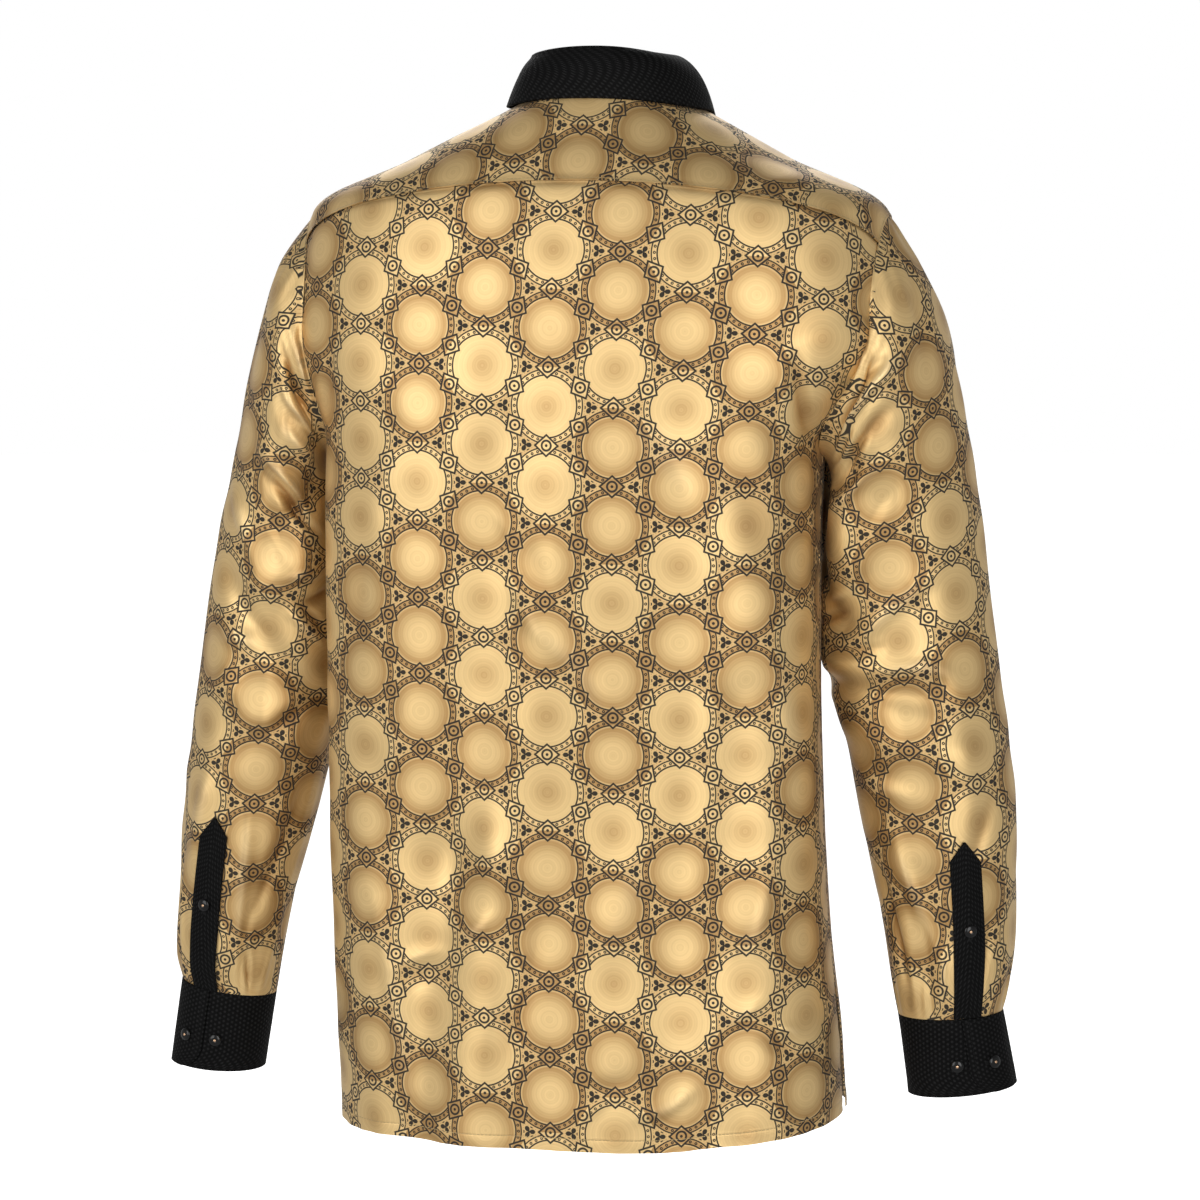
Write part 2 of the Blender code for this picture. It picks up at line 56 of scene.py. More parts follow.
MM = 0.001
HEM_ROW = 10.0
UNDERARM_ROW = 4.0
VENT_ROW = 8.3
VENT_OPENING = 3.2
FRONT_OVERLAP = 17.0
FRONT_STRAIGHT = 0.3
UNDER_START = 145.0
UNDER_STEP = 2.9
BAND_WIDTH = 34.0
PLACKET_WIDTH = 24.0
PLACKET_SHOULDER = 120.0
PLACKET_PEAK = 136.0
CUFF_OVERLAP = 26.0
CUFF_RADIUS = 39.0
CUFF_BUTTON_SHARE = 0.6
LAY = 0.35
PLACKET_LAY = 0.7
TRIM_RISE = 1.4
SEAM_TUCK = 4.5
SIGN = {"left": 1.0, "right": -1.0}

# Rough sizes of the pieces as laid out, which set how many points each has
BACK_RUN = (420.0, 640.0)
YOKE_RUN = (700.0, 130.0)
FRONT_RUN = (260.0, 700.0)
STAND_RUN = (400.0, 38.0)
FALL_RUN = (400.0, 64.0)
CUFF_RUN = (272.0, 64.0)
SLEEVE_ROUND = 360.0
TRIM_STEP = 2.4

# Rings of the body from the neck seam down, as the solids have them
BODY_COLUMNS = ("left", "right", "y_side", "y_back", "y_front", "z_left", "z_right", "z_back", "z_front",
                "square_back", "square_front")
BODY_RINGS = (
    (60, -78, -12, 58, -80, -5, -7, 5, -74, 2.0, 2.0),
    (145, -144, -10, 78, -100, -47, -43, -29, -100, 2.1, 2.1),
    (218, -221, -4, 97, -114, -87, -86, -70, -128, 2.4, 2.3),
    (226, -228, 4, 113, -122, -172, -172, -152, -188, 2.7, 2.3),
    (201, -175, 12, 119, -122, -262, -262, -250, -265, 2.9, 2.2),
    (201, -174, 18, 118, -116, -342, -342, -342, -342, 2.9, 2.1),
    (201, -175, 20, 114, -108, -436, -436, -437, -437, 2.8, 2.1),
    (200, -178, 18, 111, -103, -532, -532, -533, -533, 2.8, 2.1),
    (200, -183, 13, 112, -102, -626, -626, -628, -628, 2.7, 2.2),
    (198, -191, 8, 115, -105, -708, -704, -707, -705, 2.6, 2.3),
    (196, -194, 4, 117, -109, -780, -762, -777, -770, 2.5, 2.4),
)

ARMHOLE_ROW = 3.0
ARMHOLE_BACK = 27.0
ARMHOLE_FRONT = 33.0
YOKE_CORNER = 45.0
YOKE_CENTRE_ROW = 1.78
YOKE_INNER_CORNER = 62.0
NECK_CORNER = 100.0

# Rings of the sleeves, after the armhole
SLEEVE_COLUMNS = ("along", "outer", "z_outer", "inner", "z_inner", "y", "deep")
RIGHT_SLEEVE = (
    (32, 245, -122, 184, -278, 1, 63),
    (76, 262, -164, 181, -302, -6, 65),
    (122, 273, -210, 174, -332, -16, 64),
    (182, 284, -274, 169, -372, -25, 62),
    (250, 294, -345, 168, -414, -30, 60),
    (305, 301, -405, 174, -440, -30, 59),
    (370, 312, -476, 188, -480, -28, 58),
    (440, 319, -550, 202, -546, -26, 54),
    (512, 318, -622, 219, -622, -24, 47),
    (552, 315, -662, 226, -664, -22, 42),
    (576, 311, -685, 231, -690, -21, 36),
)
LEFT_SLEEVE = (
    (32, 243, -120, 207, -272, 0, 63),
    (76, 260, -164, 207, -298, -6, 64),
    (122, 273, -212, 206, -330, -12, 62),
    (182, 288, -276, 205, -370, -17, 60),
    (250, 305, -347, 205, -414, -21, 58),
    (305, 316, -410, 207, -446, -24, 57),
    (370, 327, -484, 215, -490, -26, 56),
    (440, 337, -552, 230, -552, -27, 52),
    (512, 342, -626, 252, -630, -27, 45),
    (552, 344, -668, 261, -676, -27, 40),
    (576, 340, -688, 265, -700, -27, 35),
)
SLEEVES = {"right": RIGHT_SLEEVE, "left": LEFT_SLEEVE}
SLEEVE_END = 576.0
CUFF_ENDS = {"right": (322, -742, 239, -752, -24, 37), "left": (351, -755, 276, -761, -30, 36)}
OPENING_ANGLE = {"right": 72.0, "left": 82.0}
PLACKET_ANGLE = {"right": 65.0, "left": 76.0}
CUFF_BUTTONS = {"right": (44.0, 84.0), "left": (60.0, 97.0)}
CUFF_LAP = math.degrees(CUFF_OVERLAP / CUFF_RADIUS)
CUFF_RISE = 2.25
CUFF_EASE = 60.0
CUFF_CORNER = 19.0

# Rings of the collar: half width, centre y, half depth, and the heights at back, side and front
COLLAR_CENTRE_X = -9.0
STAND_RISE = 1.3
STAND_LAP = 8.0
STAND_TOP = (56.0, -6.0, 62.0, 36.0, 30.0, -44.0)
FALL_TOP = (58.5, -6.0, 64.5, 38.5, 32.5, -42.0)
COLLAR_SPREAD = 20.0
FALL_ROW = 0.17
FALL_SIDE_ROW = 0.10
FALL_POINT_ROW = 0.95
FALL_POINT_START = 95.0
FALL_CLEAR = 2.8
FALL_WALL = 0.0016
FALL_BELLY = 2.5
FALL_SWELL = 6.5
COLLAR_SLUMP = 11.0
SLUMP_SHARE = 0.34
COLLAR_ROLL = 2.8
ROLL_SHARE = 0.19
LEG_SHARE = 0.05
LEG_DROP = 3.0

# The main folds. Each runs between two points, with a half width and a height, negative in a trough.
BACK_FOLDS = (
    (-8, -230, 48, -560, 26, 3.5),
    (48, -560, 74, -770, 24, 4.5),
    (38, -250, 92, -560, 26, -4.0),
    (92, -560, 122, -770, 24, -5.5),
    (-96, -420, -60, -765, 30, 3.0),
    (-128, -440, -112, -765, 20, -3.5),
    (168, -520, 150, -765, 20, 3.0),
)
FRONT_FOLDS = (
    (-70, -250, -96, -760, 28, 3.5),
    (-112, -300, -130, -760, 24, -3.5),
    (66, -230, 88, -760, 26, 3.0),
    (112, -320, 126, -760, 24, -4.0),
)
SLEEVE_FOLDS = {
    "right": (
        (135, 40, 95, 150, 13, -5.0),
        (160, 60, 118, 185, 13, 4.5),
        (185, 110, 128, 235, 12, -5.0),
        (215, 200, 110, 300, 15, 4.0),
        (170, 300, 80, 330, 14, -5.5),
        (190, 345, 60, 380, 16, 4.0),
        (250, 300, 320, 350, 16, -4.5),
        (96, 470, 112, 560, 12, -3.0),
        (210, 440, 260, 560, 14, 3.0),
    ),
    "left": (
        (130, 50, 80, 130, 13, 4.0),
        (150, 80, 100, 175, 12, -5.0),
        (165, 130, 95, 235, 13, 4.0),
        (60, 255, 150, 330, 14, -5.0),
        (70, 330, 160, 395, 15, 4.0),
        (215, 260, 300, 330, 15, -4.5),
        (200, 400, 250, 540, 14, 3.5),
        (22, 430, 34, 560, 12, -3.0),
    ),
}

# Finer creases: ends, half width, height, how far the middle bows sideways, and how much steeper one side is
BACK_CREASES = (
    (132, -650, 98, -632, 5, 1.7, 2, 0.3),
    (84, -623, 54, -603, 5, 1.6, -2, 0.3),
    (124, -662, 92, -645, 7, -1.5, 2, 0.0),
    (-14, -753, -42, -731, 5, 1.6, 2, 0.3),
    (-56, -750, -95, -729, 6, 1.8, -3, 0.3),
    (-20, -742, -50, -720, 8, -1.6, 0, 0.0),
    (-112, -689, -147, -664, 5, 1.6, 2, 0.3),
    (-154, -683, -170, -692, 4, 1.8, 1, 0.4),
    (-150, -694, -168, -702, 6, -1.6, 0, 0.0),
    (64, -286, 30, -345, 9, 1.5, 6, 0.2),
    (36, -345, 4, -402, 10, 1.6, -5, 0.2),
    (44, -300, 12, -372, 12, -1.5, 0, 0.0),
    (6, -398, -30, -455, 8, 1.4, 5, 0.2),
    (-50, -232, -96, -300, 16, 1.5, 8, 0.0),
    (-120, -250, -150, -350, 15, -1.7, 6, 0.0),
    (120, -240, 152, -350, 14, 1.7, -8, 0.0),
    (150, -300, 172, -430, 12, -1.8, 0, 0.0),
    (-168, -186, -173, -258, 5, -2.8, 1, 0.0),
    (-156, -196, -160, -262, 7, 1.6, 1, 0.2),
    (-150, -176, -196, -150, 9, -1.4, 2, 0.0),
    (184, -176, 190, -246, 7, -1.8, -2, 0.0),
    (-60, -520, -20, -640, 14, 1.4, 8, 0.0),
    (20, -600, 52, -720, 10, -1.6, 4, 0.0),
    (148, -600, 128, -752, 9, 2.0, 4, 0.2),
    (-30, -165, 30, -172, 12, -0.9, 3, 0.0),
    (80, -150, 130, -168, 10, 0.9, 2, 0.0),
    (-140, -168, -90, -150, 10, -0.9, 2, 0.0),
    (-150, -560, -128, -640, 8, 1.3, 3, 0.0),
    (-148, -398, -166, -500, 9, 1.6, 3, 0.2),
    (110, -420, 138, -520, 12, 1.2, -5, 0.0),
)
FRONT_CREASES = (
    (150, -235, 110, -300, 9, 1.7, 4, 0.2),
    (162, -270, 120, -345, 10, -1.6, 3, 0.0),
    (-150, -240, -108, -310, 9, 1.6, -4, 0.2),
    (-160, -285, -118, -355, 10, -1.5, -3, 0.0),
    (40, -420, 64, -520, 11, 1.4, 5, 0.0),
    (-52, -470, -36, -590, 12, -1.5, 4, 0.0),
    (120, -640, 80, -615, 6, 1.6, 2, 0.3),
    (-84, -700, -48, -676, 6, 1.6, 2, 0.3),
    (-138, -610, -112, -720, 9, 1.5, 3, 0.0),
    (60, -735, 96, -708, 5, 1.5, 2, 0.3),
)
YOKE_CREASES = (
    (-140, -66, -166, -60, 5, 1.3, 2, 0.3),
    (-112, -52, -150, -58, 8, -0.9, 2, 0.0),
    (-30, -24, 24, -26, 7, -0.8, 3, 0.0),
    (40, -20, 96, -42, 8, 0.9, 3, 0.0),
    (60, -8, 92, -26, 6, -0.8, 2, 0.0),
    (-70, -14, -108, -34, 7, 0.9, 2, 0.0),
    (130, -58, 176, -78, 8, 0.9, 2, 0.0),
)
SLEEVE_CREASES = {
    "right": (
        (76, 44, 134, 20, 6, -5.2, 3, 0.2),
        (58, 68, 150, 26, 8, 3.2, 8, 0.35),
        (84, 22, 118, 4, 6, 1.6, 2, 0.2),
        (70, 92, 146, 62, 9, -2.6, 5, 0.0),
        (104, 66, 166, 34, 6, 2.0, 3, 0.3),
        (104, 104, 160, 66, 7, -2.2, 4, 0.0),
        (90, 122, 150, 96, 8, 1.8, 4, 0.2),
        (122, 206, 160, 190, 5, 2.2, 2, 0.35),
        (126, 222, 166, 212, 6, -2.4, 2, 0.0),
        (60, 236, 118, 262, 9, 1.6, 4, 0.1),
        (150, 250, 104, 276, 7, -2.0, 3, 0.2),
        (56, 318, 100, 300, 7, 1.8, 3, 0.2),
        (150, 392, 96, 410, 9, 1.6, 4, 0.1),
        (30, 400, 62, 470, 8, -1.6, 4, 0.1),
        (118, 440, 96, 520, 7, 1.7, 3, 0.2),
        (140, 470, 128, 556, 6, -2.0, 2, 0.2),
        (86, 520, 92, 572, 4, 1.8, 1, 0.3),
        (44, 500, 50, 572, 4, -1.7, 1, 0.2),
        (230, 40, 262, 120, 9, 1.7, 4, 0.2),
        (250, 130, 216, 226, 9, -1.9, 4, 0.1),
        (300, 210, 240, 262, 9, 1.8, 4, 0.1),
        (322, 300, 262, 330, 8, 1.6, 4, 0.1),
        (292, 420, 316, 560, 7, -1.7, 4, 0.2),
        (344, 470, 338, 572, 5, 1.6, 2, 0.2),
        (20, 20, 40, 100, 10, -1.2, 4, 0.0),
        (350, 30, 330, 120, 10, 1.2, 4, 0.0),
    ),
    "left": (
        (80, 20, 128, 8, 5, 2.2, 2, 0.35),
        (84, 36, 134, 20, 6, -4.0, 2, 0.0),
        (96, 54, 146, 26, 6, 2.4, 2, 0.3),
        (80, 128, 132, 116, 6, 2.6, 2, 0.35),
        (86, 144, 140, 134, 7, -4.0, 2, 0.0),
        (98, 84, 140, 60, 8, 1.6, 3, 0.1),
        (157, 194, 127, 226, 6, -2.8, 2, 0.2),
        (127, 230, 150, 248, 6, -2.6, 2, 0.2),
        (110, 214, 146, 180, 6, 2.0, 2, 0.3),
        (118, 246, 150, 264, 6, 2.0, 2, 0.3),
        (40, 190, 84, 226, 9, 1.5, 4, 0.1),
        (50, 300, 96, 290, 8, 1.7, 3, 0.1),
        (140, 330, 100, 372, 8, -1.8, 3, 0.1),
        (169, 372, 160, 512, 4, 1.5, 3, 0.3),
        (160, 512, 145, 570, 4, 1.5, 1, 0.3),
        (150, 410, 122, 520, 8, -1.8, 4, 0.1),
        (100, 430, 110, 556, 7, 1.8, 4, 0.2),
        (60, 400, 52, 470, 8, 1.5, 3, 0.1),
        (36, 480, 44, 570, 5, 1.7, 1, 0.2),
        (124, 540, 128, 574, 3, -2.0, 1, 0.2),
        (230, 50, 266, 118, 9, 1.6, 4, 0.2),
        (256, 140, 220, 230, 9, -1.8, 4, 0.1),
        (306, 220, 246, 268, 9, 1.7, 4, 0.1),
        (320, 330, 268, 350, 8, 1.6, 4, 0.1),
        (290, 410, 312, 560, 7, -1.6, 4, 0.2),
        (342, 460, 336, 572, 5, 1.5, 2, 0.2),
        (16, 30, 34, 110, 10, -1.1, 4, 0.0),
    ),
}

# How strongly the creases are drawn, and the waves of slack between them: height, wave length and phase
BODY_CREASE_GAIN = 1.5
SLEEVE_CREASE_GAIN = 1.9
BODY_SLACK = ((0.45, 92.0, 0.4), (0.35, 67.0, 1.9))
SLEEVE_PHASE = {"left": 0.2, "right": 1.1}
HEAD_GATHERS = (1.1, 15.0)
CUFF_GATHERS = (1.5, 17.0)

# Where folds and creases fade: rows of the body, distance from its middle plane, and a sleeve's inner side
FOLD_FADE_ROW = 2.2
CREASE_FADE_ROW = 1.9
YOKE_FADE_ROW = 2.1
SIDE_FADE = 50.0
FACING_TURN = 185.0
FACING_WIDTH = 40.0

# How far one degree of turn is round a sleeve, in millimetres, on average
DEGREE_MM = 1.08

# The right sleeve's underside hangs against the body, centred on this turn and for this far along
HUG_TURN = 204.0
HUG_WIDTH = 34.0
HUG_START = 10.0
HUG_END = 225.0
HUG_FADE = 50.0
HUG_CLEAR = 1.5
HUG_SLANT = 0.22


def linear(red, green, blue):
    """A colour given in 0 to 255 as linear light."""
    return tuple(round(((c / 255 + 0.055) / 1.055) ** 2.4, 4) for c in (red, green, blue))


def length_property(name, description, default, least):
    """A size in metres that a user would change."""
    return bpy.props.FloatProperty(
        name=name, description=description, default=default, min=least, unit="LENGTH")


def colour_property(name, description, *shade):
    """A colour that a user would change, with its default in 0 to 255."""
    return bpy.props.FloatVectorProperty(
        name=name, description=description, default=linear(*shade), size=3, subtype="COLOR", min=0, max=1)


class ShirtSizes(bpy.types.PropertyGroup):
    """The sizes that a user would change."""

    cloth_wall: length_property("Cloth Thickness", "Thickness of the satin", 0.0007, 0.0002)
    trim_wall: length_property("Trim Thickness", "Thickness of cuffs, band and plackets", 0.0013, 0.0004)
    cloth_step: length_property("Cloth Step", "Spacing of the satin's mesh", 0.0026, 0.001)
    roundel_pitch: length_property("Roundel Pitch", "Distance between the cloth's roundels", 0.057, 0.01)
    hem_depth: length_property("Hem Depth", "How far the hem is turned up", 0.0095, 0.002)
    button_width: length_property("Button Width", "Diameter of a button", 0.010, 0.004)


class ShirtColours(bpy.types.PropertyGroup):
    """The colours that a user would change."""

    satin: colour_property("Satin", "Gold of the roundels", 235, 203, 143)
    satin_deep: colour_property("Deep Satin", "Darker gold of the tonal rings", 156, 112, 56)
    ground: colour_property("Ground", "Stippled ground between the roundels", 218, 184, 126)
    line: colour_property("Line Work", "Dark threads of the design", 24, 22, 20)
    black: colour_property("Black Cloth", "Collar, cuffs and plackets", 3, 3, 3)
    bronze: colour_property("Bronze", "Stud in the middle of a button", 240, 196, 156)


def sizes():
    return bpy.context.scene.shirt_sizes


def cloth_step():
    return sizes().cloth_step / MM


def colours():
    return bpy.context.scene.shirt_colours


# Forms of the body, the sleeves and the collar

def smooth_run(stops, values, at):
    """Values at places between stops, on a smooth curve that is level at a peak or a dip."""
    stops = np.asarray(stops, float)
    values = np.asarray(values, float)
    at = np.clip(at, stops[0], stops[-1])
    if values.ndim == 1:
        values = np.repeat(values[:, None], len(at), axis=1)
    here = np.clip(np.searchsorted(stops, at, side="right") - 1, 0, len(stops) - 2)
    steps = np.diff(values, axis=0) / np.diff(stops)[:, None]
    slopes = np.empty_like(values)
    slopes[0] = steps[0]
    slopes[-1] = steps[-1]
    product = steps[:-1] * steps[1:]
    total = steps[:-1] + steps[1:]
    slopes[1:-1] = np.where(product > 0, 2 * product / np.where(total == 0, 1, total), 0)
    column = np.arange(len(at))
    span = stops[here + 1] - stops[here]
    u = (at - stops[here]) / span
    start = (2 * u**3 - 3 * u**2 + 1) * values[here, column]
    start += (u**3 - 2 * u**2 + u) * span * slopes[here, column]
    end = (3 * u**2 - 2 * u**3) * values[here + 1, column]
    end += (u**3 - u**2) * span * slopes[here + 1, column]
    return start + end


def ramp(value):
    return np.clip(value, 0.0, 1.0)


def soft_ramp(value):
    held = np.clip(value, 0.0, 1.0)
    return held * held * (3 - 2 * held)


def ripple(along, wave, phase=0.0):
    """An uneven wave between -1 and 1."""
    turn = 2 * math.pi * along / wave
    main = np.sin(turn + phase + 1.4 * np.sin(turn / 3.7 + phase))
    return 0.6 * main + 0.4 * np.sin(turn * 0.53 + 2 * phase)


def ring_from(table, columns, stops, at):
    """A ring between the rings of a table, by the names of its columns."""
    table = np.array(table, float)
    return {name: smooth_run(stops, table[:, k], at) for k, name in enumerate(columns)}


def body_ring(row):
    return ring_from(BODY_RINGS, BODY_COLUMNS, np.arange(len(BODY_RINGS)), row)


def middle_and_half(first, second):
    return 0.5 * (first + second), 0.5 * (first - second)


def oval_stretch(across, deep, square):
    """How far a squared-off oval reaches in a direction, as a share of a round one."""
    return (np.abs(across) ** square + np.abs(deep) ** square) ** (-1.0 / square)


def body_form(angle, row):
    """The body without folds. Angle 0 is the centre back, 90 the wearer's left and 180 the front."""
    ring = body_ring(row)
    turn = np.radians((angle + 180.0) % 360.0 - 180.0)
    across = np.sin(turn)
    deep = np.cos(turn)
    at_back = deep > 0
    stretch = oval_stretch(across, deep, np.where(at_back, ring["square_back"], ring["square_front"]))
    z_side = np.where(across > 0, ring["z_left"], ring["z_right"])
    y_end = np.where(at_back, ring["y_back"], ring["y_front"])
    z_end = np.where(at_back, ring["z_back"], ring["z_front"])
    middle, half = middle_and_half(ring["left"], ring["right"])
    held = np.where(at_back, 1.0, FRONT_STRAIGHT)
    x = half * across * stretch + middle * (across**2 + held * deep**2)
    y = ring["y_side"] + np.abs(y_end - ring["y_side"]) * deep * stretch
    z = z_side + (z_end - z_side) * deep**2
    return np.stack([x, y, z], axis=1)


def fold_height(folds, a, b):
    """The height of a table of folds at places a, b."""
    lift = np.zeros_like(a)
    for from_a, from_b, to_a, to_b, half_width, height in folds:
        da = to_a - from_a
        db = to_b - from_b
        along = ((a - from_a) * da + (b - from_b) * db) / (da * da + db * db)
        held = ramp(along)
        away = np.hypot(a - from_a - held * da, b - from_b - held * db)
        lift += height * np.exp(-((away / half_width) ** 2))
    return lift


def crease_height(creases, a, b):
    """As a fold, but bowed, steeper on one side, and fading out at both ends."""
    lift = np.zeros_like(a)
    for from_a, from_b, to_a, to_b, half_width, height, bow, lean in creases:
        da = to_a - from_a
        db = to_b - from_b
        length = math.hypot(da, db)
        along = ((a - from_a) * da + (b - from_b) * db) / length**2
        held = ramp(along)
        off = ((a - from_a) * db - (b - from_b) * da) / length - bow * 4 * held * (1 - held)
        half = half_width * (1 + lean * np.sign(off))
        away = np.hypot(off / half, (along - held) * length / half_width)
        lift += height * (0.3 + 0.7 * np.sin(math.pi * held)) * np.exp(-(away**2))
    return lift


def unit(vectors):
    return vectors / np.maximum(np.linalg.norm(vectors, axis=1, keepdims=True), 1e-9)


def normals_of(form, a, b, step_a, step_b):
    along_a = form(a + step_a, b) - form(a - step_a, b)
    along_b = form(a, b + step_b) - form(a, b - step_b)
    return unit(np.cross(along_a, along_b))


def facing(normals, away):
    """The normals, turned so that each points away from the middle."""
    turned = np.where(np.einsum("ij,ij->i", normals, away) < 0, -1.0, 1.0)
    return normals * turned[:, None]


def body_point(angle, row, out=0.0, creased=True):
    """Points on the body's cloth and their outward normals."""
    row = np.clip(row, 0.0, HEM_ROW)
    inside = np.clip(row, 0.02, HEM_ROW - 0.02)
    here = body_form(angle, row)
    upward = np.where(row < 2, 60.0, 0.0)
    normal = normals_of(body_form, angle, inside, 0.5, 0.02)
    normal = facing(normal, np.stack([here[:, 0], here[:, 1], upward], axis=1))
    at_back = here[:, 1] > 0
    fade = ramp((row - FOLD_FADE_ROW) / 1.5)
    side = ramp(np.abs(here[:, 1]) / SIDE_FADE)
    x = here[:, 0]
    z = here[:, 2]
    lift = np.where(at_back, fold_height(BACK_FOLDS, x, z), fold_height(FRONT_FOLDS, x, z)) * fade * side
    if creased:
        fine = np.where(at_back, crease_height(BACK_CREASES, x, z), crease_height(FRONT_CREASES, x, z))
        (across, *across_wave), (down, *down_wave) = BODY_SLACK
        uneven = across * ripple(x + 0.35 * z, *across_wave) + down * ripple(z - 0.5 * x, *down_wave)
        lift += (BODY_CREASE_GAIN * fine + uneven) * ramp((row - CREASE_FADE_ROW) / 0.6) * side
        on_yoke = ramp((YOKE_FADE_ROW - row) / 0.5) * np.where(at_back, 1.0, 0.6)
        lift += crease_height(YOKE_CREASES, x, z) * on_yoke
    return here + normal * (lift + out)[:, None], normal


def armhole_place(turn):
    """The armhole's place on the body, as an angle and a row. Turn 0 is its top and 90 its back."""
    lean = np.sin(np.radians(turn))
    width = np.where(lean > 0, ARMHOLE_BACK, ARMHOLE_FRONT)
    return 90.0 - width * lean, ARMHOLE_ROW - np.cos(np.radians(turn))


def armhole_turn(row):
    return np.degrees(np.arccos(np.clip(ARMHOLE_ROW - row, -1.0, 1.0)))


def vent_angle(row):
    return VENT_OPENING * ramp((row - VENT_ROW) / 0.5)


def back_edge(row):
    return np.where(row >= UNDERARM_ROW, 90.0 - vent_angle(row), armhole_place(armhole_turn(row))[0])


YOKE_CORNER_ROW = float(armhole_place(YOKE_CORNER)[1])
YOKE_CORNER_ANGLE = float(armhole_place(YOKE_CORNER)[0])
FRONT_CORNER_ANGLE = float(armhole_place(-YOKE_CORNER)[0])


def yoke_row(share):
    return YOKE_CENTRE_ROW + (YOKE_CORNER_ROW - YOKE_CENTRE_ROW) * np.abs(share) ** 2.2


def back_place(u, v, creased=True):
    share = 2.0 * u - 1.0
    edge_row = YOKE_CORNER_ROW + (HEM_ROW - YOKE_CORNER_ROW) * v
    top = yoke_row(share)
    return body_point(share * back_edge(edge_row), top + (HEM_ROW - top) * v, creased=creased)


YOKE_BACK_SHARE = 0.62


def yoke_place(u, v):
    """The yoke from its front edge at the wearer's right, round the neck's back, to that at the left."""
    across = 2.0 * u - 1.0
    side = np.sign(across)
    share = across / YOKE_BACK_SHARE
    past = ramp((np.abs(across) - YOKE_BACK_SHARE) / (1 - YOKE_BACK_SHARE))
    turn = YOKE_CORNER - 2 * YOKE_CORNER * past
    side_angle, side_row = armhole_place(turn)
    behind = np.abs(share) <= 1
    outer_row = np.where(behind, yoke_row(share), side_row)
    outer_angle = np.where(behind, share * YOKE_CORNER_ANGLE, side * side_angle)
    inner_side = side * (YOKE_INNER_CORNER + (NECK_CORNER - YOKE_INNER_CORNER) * past)
    inner_angle = np.where(behind, share * YOKE_INNER_CORNER, inner_side)
    return body_point(inner_angle + (outer_angle - inner_angle) * v, outer_row * v)


def front_edge(row):
    upper = NECK_CORNER + (FRONT_CORNER_ANGLE - NECK_CORNER) * row / YOKE_CORNER_ROW
    lower = np.where(row < UNDERARM_ROW, armhole_place(-armhole_turn(row))[0], 90.0 + vent_angle(row))
    return np.where(row <= YOKE_CORNER_ROW, upper, lower)


def overlap_angle(row):
    return np.degrees(np.arctan2(FRONT_OVERLAP, -body_ring(row)["y_front"]))


def front_place(side, creased=True):
    """One front. The right one steps in to run under the left."""
    def place(u, v):
        row = HEM_ROW * v
        start = front_edge(row)
        end = 180.0 + overlap_angle(row)
        angle = start + (end - start) * u
        near = ramp((angle - UNDER_START) / 20.0)
        step_in = -UNDER_STEP * near if side < 0 else np.zeros_like(near)
        return body_point(side * angle, row, step_in, creased)

    return place


def band_place(u, v):
    row = np.clip(HEM_ROW * v, 0.012, HEM_ROW - 0.01)
    half = overlap_angle(row) * BAND_WIDTH / (2 * FRONT_OVERLAP)
    return body_point(180.0 - half * (2 * u - 1) * 0.985, row, LAY + TRIM_RISE)


def sleeve_ring(side, along):
    return ring_from(SLEEVES[side], SLEEVE_COLUMNS, [row[0] for row in SLEEVES[side]], along)


def ring_point(side, ring, turn):
    """Points of a sleeve's ring. Turn 0 is its outer edge and 90 its back."""
    angle = np.radians(turn)
    middle, half = middle_and_half(ring["outer"], ring["inner"])
    z_middle, z_half = middle_and_half(ring["z_outer"], ring["z_inner"])
    x = SIGN[side] * (middle + half * np.cos(angle))
    y = ring["y"] + ring["deep"] * np.sin(angle)
    z = z_middle + z_half * np.cos(angle)
    return np.stack([x, y, z], axis=1)


def ring_at(side, along, turn):
    """A sleeve's own ring at one distance along, at many turns."""
    return ring_point(side, sleeve_ring(side, np.full(len(turn), float(along))), turn)


def sleeve_form(side, turn, along):
    """The sleeve without folds: it leaves the armhole's own curve and eases into its rings."""
    stops = [0.0] + [row[0] for row in SLEEVES[side][:3]]
    lower = ring_point(side, sleeve_ring(side, along), turn)
    if along.min() >= stops[2]:
        return lower
    angle, row = armhole_place(turn)
    knots = [body_form(SIGN[side] * angle, row)] + [ring_at(side, stop, turn) for stop in stops[1:]]
    upper = [smooth_run(stops, np.stack([knot[:, k] for knot in knots]), along) for k in range(3)]
    return np.where((along >= stops[2])[:, None], lower, np.stack(upper, axis=1))


def sleeve_normal(side, turn, along):
    """Outward normals of the sleeve without folds."""
    inside = np.clip(along, 1.0, SLEEVE_END - 1.0)
    normal = normals_of(lambda a, b: sleeve_form(side, a, b), turn, inside, 2.0, 1.0)
    centre = 0.5 * (sleeve_form(side, turn, inside) + sleeve_form(side, turn + 180.0, inside))
    return facing(normal, sleeve_form(side, turn, inside) - centre)


def all_round(height, rows, round_mm, along):
    """A sleeve's table of folds or creases, which also reaches past turn 0 and turn 360."""
    rows = [(row[0] * DEGREE_MM, row[1], row[2] * DEGREE_MM, *row[3:]) for row in rows]
    return sum(height(rows, round_mm + whole * DEGREE_MM, along) for whole in (-360.0, 0.0, 360.0))


def sleeve_fine(side, turn, along, round_mm):
    """The height of a sleeve's creases, of its slack and of the gathers at its head and cuff."""
    phase = SLEEVE_PHASE[side]
    fine = SLEEVE_CREASE_GAIN * all_round(crease_height, SLEEVE_CREASES[side], round_mm, along)
    fine += 0.5 * ripple(along + 0.6 * round_mm, 58.0, phase) + 0.3 * ripple(round_mm * 1.5, 41.0, phase)
    high, wave = HEAD_GATHERS
    head = np.exp(-along / 26.0) * ramp(np.cos(np.radians(turn)) + 0.55)
    fine += high * head * ripple(round_mm, wave, 0.7 + phase) * ramp(along / 4.0)
    high, wave = CUFF_GATHERS
    return fine + high * np.exp(-(SLEEVE_END - along) / 34.0) * ripple(round_mm, wave, phase)


